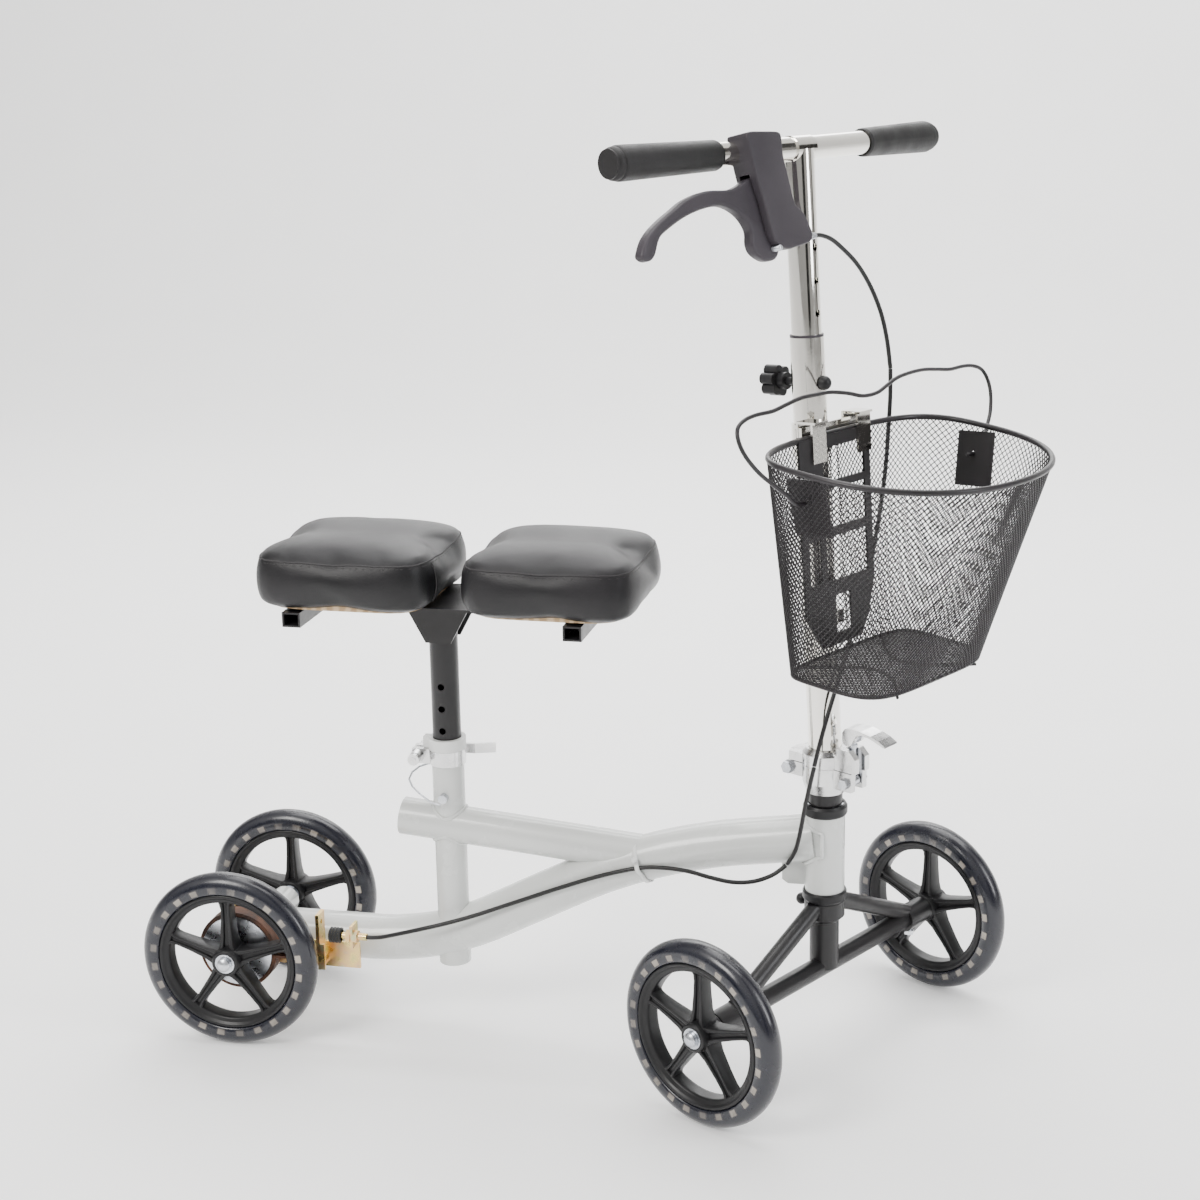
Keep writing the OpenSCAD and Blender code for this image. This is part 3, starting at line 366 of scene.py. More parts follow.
# Each row: light and dark colour, gloss range, metallic, grain, bump, and the extras that differ
# from surface's own defaults.
FINISHES = {
    "white_paint": ((0.66, 0.675, 0.66), (0.61, 0.625, 0.61), (0.2, 0.3), 0, 260, 0.05, {"coat": 0.5}),
    "black_paint": ((0.016, 0.015, 0.016), (0.009, 0.009, 0.010), (0.3, 0.42), 0, 700, 0.2, {"coat": 0.1}),
    "chrome": ((0.88, 0.86, 0.81), (0.82, 0.80, 0.75), (0.04, 0.12), 1, 300, 0.012, {}),
    "zinc": ((0.66, 0.68, 0.72), (0.52, 0.54, 0.58), (0.22, 0.38), 1, 900, 0.1, {"patch": 30}),
    "alloy": ((0.80, 0.80, 0.80), (0.62, 0.62, 0.62), (0.14, 0.3), 1, 240, 0.1, {"patch": 22}),
    "black_nylon": ((0.014, 0.014, 0.015), (0.007, 0.007, 0.008), (0.3, 0.46), 0, 520, 0.15, {}),
    "grey_plastic": ((0.046, 0.040, 0.048), (0.032, 0.028, 0.034), (0.36, 0.5), 0, 900, 0.3, {}),
    "white_plastic": ((0.78, 0.79, 0.78), (0.73, 0.74, 0.73), (0.32, 0.45), 0, 500, 0.08, {}),
    "grip_rubber": ((0.014, 0.013, 0.014), (0.008, 0.008, 0.008), (0.4, 0.6), 0, 800, 0.5, {}),
    "cable_cover": ((0.020, 0.019, 0.020), (0.012, 0.012, 0.012), (0.24, 0.4), 0, 400, 0.1, {}),
    "black_wire": ((0.024, 0.021, 0.024), (0.012, 0.011, 0.012), (0.3, 0.46), 0, 800, 0.18, {"coat": 0.1}),
    "lining": ((0.13, 0.055, 0.03), (0.05, 0.028, 0.02), (0.7, 0.85), 0, 500, 0.5, {"patch": 60}),
    "thread": ((0.04, 0.038, 0.04), (0.022, 0.02, 0.022), (0.6, 0.75), 0, 3000, 0.6, {}),
    "dust_seal": ((0.03, 0.03, 0.03), (0.018, 0.018, 0.018), (0.45, 0.6), 0, 600, 0.2, {}),
}


def make_materials():
    materials = {name: surface(name, *row[:-1], **row[-1]) for name, row in FINISHES.items()}
    materials["yellow_zinc"] = yellow_zinc("yellow_zinc")
    materials["tyre"] = tyre_rubber("tyre")
    materials["vinyl"] = leatherette("vinyl")
    materials["board"] = plywood("board")
    return materials


# ---------------------------------------------------------------- mesh helpers

def add_piece(name, mesh, body, slot, material, *nodes, smooth=True, place=None):
    piece = bpy.data.objects.new(name, mesh)
    bpy.context.scene.collection.objects.link(piece)
    mesh.materials.clear()
    mesh.materials.append(MATERIALS[material])
    if smooth:
        mesh.shade_smooth()
    if place is not None:
        piece.matrix_world = place
    if body:
        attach(piece, body)
    if nodes:
        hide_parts(*nodes)
    return piece


def from_lists(name, verts, faces):
    mesh = bpy.data.meshes.new(name)
    mesh.from_pydata([tuple(v) for v in verts], [], faces)
    bm = bmesh.new()
    bm.from_mesh(mesh)
    bmesh.ops.recalc_face_normals(bm, faces=bm.faces)
    bm.to_mesh(mesh)
    bm.free()
    return mesh


def modified(name, mesh, *settings):
    """The mesh after modifiers, each given as (type, {property: value})."""
    holder = bpy.data.objects.new(name + "_work", mesh)
    bpy.context.scene.collection.objects.link(holder)
    for kind, values in settings:
        modifier = holder.modifiers.new(kind.lower(), kind)
        for key, value in values.items():
            setattr(modifier, key, value)
    bpy.context.view_layer.update()
    evaluated = holder.evaluated_get(bpy.context.evaluated_depsgraph_get())
    result = bpy.data.meshes.new_from_object(evaluated)
    result.name = name
    bpy.data.objects.remove(holder)
    return result


def smooth_path(points, per=6, closed=False):
    """A Catmull-Rom line through the points."""
    p = [Vector(q) for q in points]
    n = len(p)
    line = []
    for i in range(n if closed else n - 1):
        if closed:
            a, b, c, d = (p[(i + k) % n] for k in (-1, 0, 1, 2))
        else:
            a, b, c, d = p[max(i - 1, 0)], p[i], p[i + 1], p[min(i + 2, n - 1)]
        for k in range(per):
            t = k / per
            line.append(0.5 * (2 * b + (c - a) * t + (2 * a - 5 * b + 4 * c - d) * t * t
                               + (3 * b - 3 * c + d - a) * t ** 3))
    if not closed:
        line.append(p[-1])
    return line


def tube_mesh(name, path, radius, closed=False, sides=12):
    """A round tube along a path, with parallel-carried rings and flat caps."""
    path = [Vector(p) for p in path]
    n = len(path)
    rings = []
    side = None
    for i, p in enumerate(path):
        ahead = path[(i + 1) % n] if closed or i < n - 1 else p
        behind = path[i - 1] if closed or i > 0 else p
        along = (ahead - behind).normalized()
        if side is None:
            side = along.orthogonal().normalized()
        side = (side - along * side.dot(along)).normalized()
        other = along.cross(side)
        r = radius(i / (n - 1)) if callable(radius) else radius
        rings.append([
            p + r * (math.cos(math.tau * k / sides) * side + math.sin(math.tau * k / sides) * other)
            for k in range(sides)])
    start = 0
    if closed:
        turns = [(rings[-1][k] - rings[0][0]).length for k in range(sides)]
        start = turns.index(min(turns))
    faces = []
    for i in range(n if closed else n - 1):
        shift = start if closed and i == n - 1 else 0
        for k in range(sides):
            a, b = i * sides + (k + shift) % sides, i * sides + (k + 1 + shift) % sides
            j = (i + 1) % n
            faces.append((a, b, j * sides + (k + 1) % sides, j * sides + k))
    if not closed:
        faces += [tuple(range(sides)), tuple((n - 1) * sides + k for k in range(sides))]
    return from_lists(name, [v for ring in rings for v in ring], faces)


def lathe_mesh(name, profile, steps=96):
    """A closed profile of (radius, y) points, in metres, turned round the Y axis."""
    verts = [
        (r * math.cos(math.tau * i / steps), y, r * math.sin(math.tau * i / steps))
        for i in range(steps) for r, y in profile]
    m = len(profile)
    faces = [
        (i * m + k, i * m + (k + 1) % m, (i + 1) % steps * m + (k + 1) % m, (i + 1) % steps * m + k)
        for i in range(steps) for k in range(m)]
    return from_lists(name, verts, faces)


def outline_mesh(name, outline, depth0, depth1, place, round_by, per=5):
    """A closed outline of (y, z) millimetres, thickened along x, smoothed and with rounded edges."""
    line = smooth_path([(0, y, z) for y, z in outline], per, True)
    n = len(line)
    verts = [place @ (Vector((x, p.y, p.z)) * MM) for x in (depth0, depth1) for p in line]
    faces = [tuple(range(n)), tuple(range(2 * n - 1, n - 1, -1))]
    faces += [(k, (k + 1) % n, n + (k + 1) % n, n + k) for k in range(n)]
    mesh = from_lists(name, verts, faces)
    return modified(name, mesh, ("BEVEL", {
        "width": round_by * MM, "segments": 4, "limit_method": "ANGLE", "angle_limit": math.radians(50)}))


def joined(name, meshes):
    """Several meshes as one."""
    bm = bmesh.new()
    for mesh in meshes:
        bm.from_mesh(mesh)
    whole = bpy.data.meshes.new(name)
    bm.to_mesh(whole)
    bm.free()
    return whole


# ---------------------------------------------------------------- brake cable

CABLE_R = 0.0024
CABLE_UPPER = [
    (29.8, -18, 552.8), (30, -8, 552.4), (31, 8, 547), (31, 26, 536), (31, 45, 522), (30, 62, 506),
    (29, 78, 486), (28, 92, 462), (26, 103, 434), (24, 110, 403)]
CABLE_FOLD = [
    (24, 110, 402), (21, 112, 372), (18, 111, 340), (17, 105, 300), (17, 94, 260), (18, 78, 220),
    (19, 58, 180), (20, 36, 144), (22, 14, 112), (23, -6, 82), (22, -22, 54), (18, -32, 26), (14, -38, 2.6)]
CABLE_STEER = [
    (13.8, -38.2, 342), (10, -42, 318), (5, -43, 294), (-1, -42, 268), (-9, -40, 244), (-22, -37, 224)]
CABLE_FRAME = [
    (606, -22.3, 222.4), (592, -27, 212), (572, -31, 205), (550, -32, 203), (526, -31, 206),
    (500, -29.5, 211), (472, -28.6, 212.5), (445, -28.4, 210), (403, -28.4, 198), (358, -28.4, 181),
    (320, -28.6, 165.5), (289, -29.5, 153), (258, -31.5, 141), (228, -35, 131.5), (200, -41, 125),
    (178, -50, 122), (163, -59, 121.3), (152, -62, 121), (146, -62, 121)]


def cable_piece(name, points, place, bodies):
    path = smooth_path(placed(points, place), 7)
    mesh = tube_mesh(name, path, CABLE_R, sides=14)
    if len(bodies) == 1:
        return add_piece(name, mesh, bodies[0], "cable_cover", "cable_cover", name)
    piece = add_piece(name, mesh, None, "cable_cover", "cable_cover", name)
    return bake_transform(piece)


def make_cables():
    cable_piece("brake_cable_frame", CABLE_FRAME, AXLE, ["frame"])
    cable_piece("brake_cable_steer", CABLE_STEER, STEERED, ["frame", "fork"])
    cable_piece("brake_cable_fold", CABLE_FOLD, COLUMN, ["fork", "column"])
    cable_piece("brake_cable_upper", CABLE_UPPER, COLUMN, ["column", "stem"])


# ---------------------------------------------------------------- wheels

WHEEL_R = 0.100
TYRE_HALF_W = 0.014
RIM_R = 0.078
SPOKES = 5


def tyre_profile():
    """Round tread, nearly flat sides with a shallow step, and a bead inside the rim's edge."""
    shoulder = WHEEL_R - TYRE_HALF_W
    arc = [
        (shoulder + TYRE_HALF_W * math.cos(a), TYRE_HALF_W * math.sin(a))
        for a in np.linspace(-math.pi / 2, math.pi / 2, 21)]
    bead = RIM_R + 0.0006
    return [(bead, -0.0118), (bead + 0.0016, -0.0134)] + arc + [(bead + 0.0016, 0.0134), (bead, 0.0118)]


def rim_profile():
    """A shallow channel with a rolled lip on both sides."""
    lip = [(0.0782, 0.0112), (0.0778, 0.0122), (0.0764, 0.0127), (0.0748, 0.0122), (0.0738, 0.0108),
           (0.0722, 0.0096), (0.0694, 0.0088), (0.0682, 0.0078), (0.0678, 0.0050), (0.0678, 0.0)]
    return lip + [(r, -y) for r, y in reversed(lip[:-1])]


def spoke_mesh():
    """One tapered spoke: a web with raised edges, flared into the hub and the rim."""
    stations = [
        (0.011, 0.0105, 0.0120), (0.017, 0.0082, 0.0106), (0.026, 0.0068, 0.0092), (0.045, 0.0056, 0.0082),
        (0.060, 0.0050, 0.0080), (0.066, 0.0056, 0.0082), (0.0705, 0.0090, 0.0086)]
    web = 0.45
    verts, faces = [], []
    for x, w, t in stations:
        verts += [
            (x, -t, -w), (x, -t, -w * web), (x, -t * 0.62, -w * web * 0.8),
            (x, -t * 0.62, w * web * 0.8), (x, -t, w * web), (x, -t, w)]
        verts += [(x, -y, z) for x, y, z in reversed(verts[-6:])]
    for i in range(len(stations) - 1):
        for k in range(12):
            a, b = i * 12 + k, i * 12 + (k + 1) % 12
            faces.append((a, b, b + 12, a + 12))
    faces += [tuple(range(12)), tuple(range(len(verts) - 12, len(verts)))]
    mesh = from_lists("spoke", verts, faces)
    return modified("spoke", mesh, (
        "BEVEL", {"width": 0.0009, "segments": 2, "limit_method": "ANGLE", "angle_limit": math.radians(38)}))


def hub_profile():
    bore = 0.0111
    side = [
        (bore, 0.0166), (0.0122, 0.0170), (0.0140, 0.0168),
        (0.0150, 0.0160), (0.0152, 0.0130), (0.0166, 0.0096)]
    return side + [(r, -y) for r, y in reversed(side)]


def make_rim_mesh():
    parts = [lathe_mesh("channel", rim_profile()), lathe_mesh("hub", hub_profile(), 64)]
    spoke = spoke_mesh()
    for k in range(SPOKES):
        copy = spoke.copy()
        copy.transform(Matrix.Rotation(math.radians(-90 - 360 / SPOKES * k), 4, "Y"))
        parts.append(copy)
    return joined("wheel_rim", parts)


def make_wheels():
    tyre = lathe_mesh("tyre", tyre_profile(), 128)
    rim = make_rim_mesh()
    seal = lathe_mesh("seal", [(0.0062, 0.0168), (0.0109, 0.0168), (0.0109, 0.0160), (0.0062, 0.0160)], 48)
    for wheel in ("rear_right", "rear_left", "front_right", "front_left"):
        at = Vector(JOINTS[wheel + "_roll"]["pos_m"])
        turn = STEERED.to_3x3().to_4x4() if wheel.startswith("front") else Matrix.Identity(4)
        place = Matrix.Translation(at) @ turn
        body = wheel + "_wheel"
        add_piece(wheel + "_tyre", tyre.copy(), body, "tyre", "tyre", wheel + "_tyre", place=place)
        add_piece(wheel + "_rim", rim.copy(), body, "black_nylon", "black_nylon", wheel + "_rim", place=place)
        carrier = "fork" if wheel.startswith("front") else "frame"
        add_piece(wheel + "_seal", seal.copy(), carrier, "zinc", "dust_seal", place=place)


# ---------------------------------------------------------------- seat pads

PAD_SIDE_H = 0.058
PAD_POWER = 5.5          # squareness of the pad's outline


def pad_outline(l, w, inset, steps=72):
    """A squarish outline whose sides bow out a little between rounded corners."""
    hx, hy = l / 2 - inset, w / 2 - inset
    quarter = steps // 4
    points = []
    for q in range(4):
        turn = q * math.pi / 2
        for k in range(quarter):
            a = turn + (k + 0.5) / quarter * math.pi / 2
            c, s = math.cos(a), math.sin(a)
            reach = 1 / (abs(c / hx) ** PAD_POWER + abs(s / hy) ** PAD_POWER) ** (1 / PAD_POWER)
            points.append(Vector((c * reach, s * reach)))
    return points


def crown(x, y, l, w):
    """Height of the top above the seam: two ridges along the pad with a knee channel between."""
    edge_x = 1 - min(abs(2 * x / l), 1) ** 4.0
    edge_y = 1 - min(abs(2 * y / w), 1) ** 3.2
    ridge = 0.0125 * edge_x * edge_y
    channel = 0.0062 * math.exp(-(y / 0.030) ** 2) * (0.55 + 0.45 * edge_x)
    return ridge - channel


def pad_mesh(name, l, w, centre, base_z, shrink):
    levels = [
        (0.020, 0.0), (0.007, 0.0004), (0.0024, 0.004), (0.0, 0.012),
        (-0.0012, 0.026), (0.0002, 0.042), (0.0028, 0.052)]
    top = [0.0062, 0.011, 0.018, 0.030, 0.045, 0.060, 0.078]
    rings = []
    for inset, z in levels:
        rings.append([(p.x, p.y, z) for p in pad_outline(l, w, inset + shrink)])
    for inset in top:
        outline = pad_outline(l, w, inset + shrink)
        rings.append([(p.x, p.y, PAD_SIDE_H - shrink + crown(p.x, p.y, l, w)) for p in outline])
    n = len(rings[0])
    verts = [Vector(centre) + Vector((x, y, base_z + z)) for ring in rings for x, y, z in ring]
    faces = [
        (i * n + k, i * n + (k + 1) % n, (i + 1) * n + (k + 1) % n, (i + 1) * n + k)
        for i in range(len(rings) - 1) for k in range(n)]
    faces.append(tuple(range(n)))
    last = (len(rings) - 1) * n
    verts.append(Vector(centre) + Vector((0, 0, base_z + PAD_SIDE_H - shrink + crown(0, 0, l, w))))
    faces += [(last + k, last + (k + 1) % n, len(verts) - 1) for k in range(n)]
    return from_lists(name, verts, faces)


def inflated(name, mesh, cap):
    """The mesh swollen by a short cloth simulation, with no point moved further than cap."""
    mesh = modified(name, mesh, ("REMESH", {"mode": "VOXEL", "voxel_size": 0.006}))
    holder = bpy.data.objects.new(name + "_cloth", mesh)
    bpy.context.scene.collection.objects.link(holder)
    rest = np.array([v.co for v in mesh.vertices])
    cloth = holder.modifiers.new("cloth", "CLOTH")
    cloth.settings.use_pressure = True
    cloth.settings.uniform_pressure_force = 4
    cloth.settings.effector_weights.gravity = 0
    cloth.point_cache.frame_end = 20
    scene = bpy.context.scene
    for f in range(1, 21):
        scene.frame_set(f)
    evaluated = holder.evaluated_get(bpy.context.evaluated_depsgraph_get())
    swollen = bpy.data.meshes.new_from_object(evaluated)
    moved = np.array([v.co for v in swollen.vertices]) - rest
    far = np.linalg.norm(moved, axis=1, keepdims=True)
    moved *= cap * np.tanh(far / cap) / np.maximum(far, 1e-9)
    mesh.vertices.foreach_set("co", (rest + moved).astype(np.float32).ravel())
    mesh.update()
    scene.frame_set(1)
    bpy.data.objects.remove(holder)
    return modified(name, mesh, ("SMOOTH", {"factor": 0.5, "iterations": 6}), ("SUBSURF", {"levels": 1}))


def on_surface(tree, point, lift):
    at, normal, _, _ = tree.find_nearest(point)
    return at + normal * lift, normal


def stitch_mesh(name, line, tree, every, length, radius):
    """A row of stitches lying on a surface along a line."""
    parts = []
    run = 0.0
    for a, b in zip(line, line[1:]):
        run += (b - a).length
        if run < every:
            continue
        run = 0.0
        along = (b - a).normalized()
        ends = [on_surface(tree, a + along * s * length, radius * 0.4)[0] for s in (0, 0.5, 1)]
        parts.append(tube_mesh("stitch", ends, lambda t: radius * (1 if 0.2 < t < 0.8 else 0.55), sides=6))
    return joined(name, parts)


def make_boards():
    """The plywood under each pad, seen from below."""
    boards = []
    for node in ("rear_pad", "front_pad"):
        low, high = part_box(node)
        l, w = high.x - low.x, high.y - low.y
        middle = Vector(((low.x + high.x) / 2, (low.y + high.y) / 2, low.z))
        rings = [(0.020, -0.0004), (0.019, 0.0), (0.019, 0.006)]
        outline = [
            [middle + Vector((p.x, p.y, z)) for p in pad_outline(l, w, inset)] for inset, z in rings]
        n = len(outline[0])
        faces = [
            (i * n + k, i * n + (k + 1) % n, (i + 1) * n + (k + 1) % n, (i + 1) * n + k)
            for i in range(len(rings) - 1) for k in range(n)]
        faces += [tuple(range(n)), tuple(range(2 * n, 3 * n))]
        boards.append(from_lists("board", [v for ring in outline for v in ring], faces))
    whole = joined("seat_boards", boards)
    add_piece("seat_boards", whole, "seat", "board", "board", "pad_boards", smooth=False)


def make_pad(name, body, node, seam_end):
    low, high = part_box(node)
    l, w = high.x - low.x, high.y - low.y
    centre = ((low.x + high.x) / 2, (low.y + high.y) / 2, 0)
    mesh = inflated(name, pad_mesh(name, l, w, centre, low.z + 0.0012, 0.0035), 0.006)
    piece = add_piece(name, mesh, body, "vinyl", "vinyl", node)
    bm = bmesh.new()
    bm.from_mesh(mesh)
    tree = BVHTree.FromBMesh(bm)
    seam_z = low.z + PAD_SIDE_H - 0.001
    rim = [Vector((centre[0] + p.x, centre[1] + p.y, seam_z)) for p in pad_outline(l, w, 0.0035, 160)]
    seam = [on_surface(tree, p, 0.0001)[0] for p in rim]
    welt = tube_mesh(name + "_seam", seam, 0.0009, True, 8)
    lower = [on_surface(tree, p - Vector((0, 0, 0.0045)), 0)[0] for p in rim]
    x_end = centre[0] + seam_end * l / 2
    post = [on_surface(tree, Vector((x_end, centre[1] - 0.052, low.z + z)), 0.0001)[0]
            for z in np.linspace(0.004, PAD_SIDE_H - 0.002, 16)]
    end_seam = tube_mesh(name + "_end_seam", post, 0.0009, False, 8)
    add_piece(name + "_seams", joined(name + "_seams", [welt, end_seam]), body, "vinyl", "thread")
    stitches = stitch_mesh(name + "_stitches", lower + lower[:1], tree, 0.0045, 0.003, 0.00045)
    add_piece(name + "_stitches", stitches, body, "vinyl", "thread")
    bm.free()


# ---------------------------------------------------------------- basket

BASKET_X = 27
FLOOR_Z, RIM_Z = 121, 354
RIM_DROP, FLOOR_DROP = 8.5, 7
RIM_SIZE, FLOOR_SIZE = (312, 229), (216, 123)
MESH_AROUND = 132
MESH_ROWS = 66
STRAND = 0.0016


def superellipse(a, half_w, depth, front, back):
    c, s = math.cos(a), math.sin(a)
    n = front if c >= 0 else back
    mid = 0.4 * depth
    reach = depth - mid if c >= 0 else mid
    return (BASKET_X + mid + math.copysign(reach * abs(c) ** (2 / n), c),
            math.copysign(half_w * abs(s) ** (2 / n), s))


def basket_point(a, t, inset=0.0):
    """A point of the basket's wall: a round it, t from floor to rim, in the column's axes."""
    fx, fy = superellipse(a, FLOOR_SIZE[0] / 2 - inset, FLOOR_SIZE[1] - 2 * inset, 4.4, 5)
    rx, ry = superellipse(a, RIM_SIZE[0] / 2 - inset, RIM_SIZE[1] - 2 * inset, 2.2, 3.5)
    fx, rx = fx + inset, rx + inset
    fz = FLOOR_Z - (fx - BASKET_X) * math.tan(math.radians(FLOOR_DROP))
    rz = RIM_Z - (rx - BASKET_X) * math.tan(math.radians(RIM_DROP))
    return Vector((fx + (rx - fx) * t, fy + (ry - fy) * t, fz + (rz - fz) * t))


def even_angles(count, t):
    """Angles that divide the wall's outline at height t into equal lengths."""
    fine = np.linspace(0, math.tau, 1441)
    points = np.array([basket_point(a, t) for a in fine])
    run = np.concatenate([[0], np.cumsum(np.linalg.norm(np.diff(points, axis=0), axis=1))])
    return [float(np.interp(run[-1] * k / count, run, fine)) for k in range(count)]


def basket_wall_mesh():
    """The wall as diamond faces, which a wireframe turns into expanded metal."""
    angles = even_angles(2 * MESH_AROUND, 0.6)
    verts, faces = [], []
    for row in range(MESH_ROWS + 1):
        for i in range(MESH_AROUND):
            angle = angles[(2 * i + row % 2) % len(angles)]
            verts.append(COLUMN @ (basket_point(angle, row / MESH_ROWS, 1.4) * MM))

    def at(row, i):
        return row * MESH_AROUND + i % MESH_AROUND

    for row in range(MESH_ROWS - 1):
        for i in range(MESH_AROUND):
            side = i if row % 2 == 0 else i + 1
            faces.append((at(row, i), at(row + 1, side), at(row + 2, i), at(row + 1, side - 1)))
    return from_lists("basket_wall", verts, faces)


def inside(x, y, outline):
    hit = False
    for (ax, ay), (bx, by) in zip(outline, outline[1:] + outline[:1]):
        if (ay > y) != (by > y) and x < (bx - ax) * (y - ay) / (by - ay) + ax:
            hit = not hit
    return hit


def basket_floor_mesh():
    """Diamonds over the floor, with the outer ones drawn in to its edge."""
    edge = [basket_point(a, 0, 1.5) for a in even_angles(180, 0)]
    outline = [(p.x, p.y) for p in edge]
    pitch = 6.6
    cols, rows = int(FLOOR_SIZE[1] / pitch) + 3, int(FLOOR_SIZE[0] / pitch) + 3
    verts, faces, index = [], [], {}

    def vert(i, j):
        if (i, j) not in index:
            x, y = BASKET_X + (i / 2 - 1) * pitch, (j / 2 - rows / 2) * pitch
            if not inside(x, y, outline):
                x, y = min(outline, key=lambda p: (p[0] - x) ** 2 + (p[1] - y) ** 2)
            z = FLOOR_Z + 0.5 - (x - BASKET_X) * math.tan(math.radians(FLOOR_DROP))
            index[i, j] = len(verts)
            verts.append(COLUMN @ (Vector((x, y, z)) * MM))
        return index[i, j]

    for i in range(2 * cols):
        for j in range(2 * rows):
            x, y = BASKET_X + (i / 2 - 0.5) * pitch, (j / 2 - rows / 2) * pitch
            if (i + j) % 2 == 0 and inside(x, y, outline):
                faces.append((vert(i, j), vert(i + 1, j + 1), vert(i + 2, j), vert(i + 1, j - 1)))
    return from_lists("basket_floor", verts, faces)


def expanded(name, mesh):
    return modified(name, mesh, (
        "WIREFRAME", {"thickness": STRAND, "use_even_offset": False, "use_boundary": True, "offset": 0}))


def ring_line(t, inset, lift=0.0, count=120):
    return [COLUMN @ ((basket_point(a, t, inset) + Vector((0, 0, lift))) * MM) for a in even_angles(count, t)]


HANDLE_PIVOT = Vector((104, 159, 312))
HANDLE_LEAN = math.radians(20)
HANDLE_ARCH = [
    (166, -4), (170, 12), (184, 25), (197, 38), (208, 56), (211, 72), (206, 84), (192, 90), (174, 92),
    (150, 92), (128, 95), (104, 98), (78, 98), (56, 96), (36, 91), (16, 86), (-8, 86), (-30, 92),
    (-56, 97), (-80, 98), (-104, 98), (-128, 95), (-150, 92), (-174, 92), (-192, 90), (-206, 84),
    (-211, 72), (-208, 56), (-197, 38), (-184, 25), (-170, 12), (-166, -4)]


def make_handle():
    s, c = math.sin(HANDLE_LEAN), math.cos(HANDLE_LEAN)
    arch = [(HANDLE_PIVOT.x - z * s, y, HANDLE_PIVOT.z + z * c) for y, z in HANDLE_ARCH]
    ends = [(HANDLE_PIVOT.x, side * y, HANDLE_PIVOT.z) for side in (1, -1) for y in (131, 158)]
    line = ends[:2] + arch[1:-1] + [ends[3], ends[2]]
    mesh = tube_mesh("basket_handle", smooth_path(placed(line, COLUMN), 6), 0.0021, sides=10)
    add_piece("basket_handle", mesh, "basket_handle", "black_wire", "black_wire", "basket_handle")


def make_basket():
    wall = expanded("basket_wall", basket_wall_mesh())
    floor = expanded("basket_floor", basket_floor_mesh())
    whole = joined("basket_mesh", [wall, floor])
    add_piece("basket_mesh", whole, "basket", "black_wire", "black_wire", "basket")
    rim = tube_mesh("basket_rim", ring_line(1, 2.2, -1.5), 0.0031, True, 12)
    sole = tube_mesh("basket_sole", ring_line(0, 2.2, 1.5), 0.0022, True, 10)
    wires = [rim, sole]
    for y in (-70, 70):
        line = []
        for u in np.linspace(0, 1, 9):
            x = BASKET_X + 3 + 118 * u
            z = FLOOR_Z - 1.2 - (x - BASKET_X) * math.tan(math.radians(FLOOR_DROP))
            line.append((x, y * (1 - 1.15 * math.sin(math.pi * u) * 0.62), z))
        path = smooth_path(placed(line, COLUMN), 5)
        wires.append(tube_mesh("basket_floor_wire", path, 0.0016, sides=8))
    add_piece("basket_wires", joined("basket_wires", wires), "basket", "black_wire", "black_wire")


# ---------------------------------------------------------------- brake lever and its housing

HOUSING = [
    (-99, 14), (-94, 18), (-73, 17.5), (-52, 16), (-47, 12), (-48, 0), (-49, -9), (-47.5, -24),
    (-46, -38), (-44, -55), (-34, -64), (-27, -78), (-25, -88), (-30, -94), (-40, -96), (-54, -97.5),
    (-67, -98), (-83, -90), (-88, -74),
    (-91, -50), (-96, -26), (-98, -5)]
LEVER_OUTLINE = [
    (-91, -25), (-112, -31), (-130, -34), (-161, -33), (-190, -38), (-213, -47), (-236, -57), (-254, -68),
    (-264, -80), (-266, -87), (-258, -91), (-249, -87), (-240, -74), (-230, -67), (-197, -55),
    (-165, -49), (-140, -49), (-119, -59), (-108, -74), (-110, -88), (-106, -98), (-92, -106),
    (-78, -106), (-70, -98), (-71, -84), (-77, -60), (-84, -38)]


def make_brake_lever():
    body = outline_mesh("brake_housing", HOUSING, -8, 19, LEVER, 4)
    slot_sides = ((-150, -22), (-60, -22), (-58, -120), (-150, -120))
    corners = placed([(x, y, z) for x in (-2.3, 10.3) for y, z in slot_sides], LEVER)
    slot_box = from_lists("slot", corners, [
        (0, 1, 2, 3), (4, 5, 6, 7), (0, 1, 5, 4), (1, 2, 6, 5), (2, 3, 7, 6), (3, 0, 4, 7)])
    cutter = bpy.data.objects.new("slot_cutter", slot_box)
    bpy.context.scene.collection.objects.link(cutter)
    body = modified("brake_housing", body, (
        "BOOLEAN", {"operation": "DIFFERENCE", "object": cutter, "solver": "EXACT"}))
    bpy.data.objects.remove(cutter)
    piece = add_piece("brake_housing_shell", body, "stem", "grey_plastic", "grey_plastic", "brake_housing")
    crisp_edges(piece)
    lever = outline_mesh("brake_lever", LEVER_OUTLINE, -2, 10, LEVER, 3.4)
    add_piece("brake_lever_blade", lever, "brake_lever", "grey_plastic", "grey_plastic", "brake_lever")
    pin_path = placed([(-9.5, -80, -96), (-8.6, -80, -96), (19.6, -80, -96), (20.5, -80, -96)], LEVER)
    pin = tube_mesh("lever_pin", pin_path, lambda t: 0.0022 if t in (0, 1) else 0.003, sides=24)
    add_piece("lever_pin", pin, "stem", "zinc", "zinc")
    ferrule = placed([(15, -32, -89), (15, -24, -89), (15, -23.9, -89), (15, -18, -89)], LEVER)
    barrel = tube_mesh("cable_ferrule", ferrule, lambda t: 0.004 if t < 0.5 else 0.0033, sides=24)
    add_piece("cable_ferrule", barrel, "stem", "zinc", "zinc")


def crisp_edges(piece):
    """Keeps sharp edges crisp where a smooth-shaded piece turns a corner."""
    piece.data.set_sharp_from_angle(angle=math.radians(38))


# ---------------------------------------------------------------- frame details

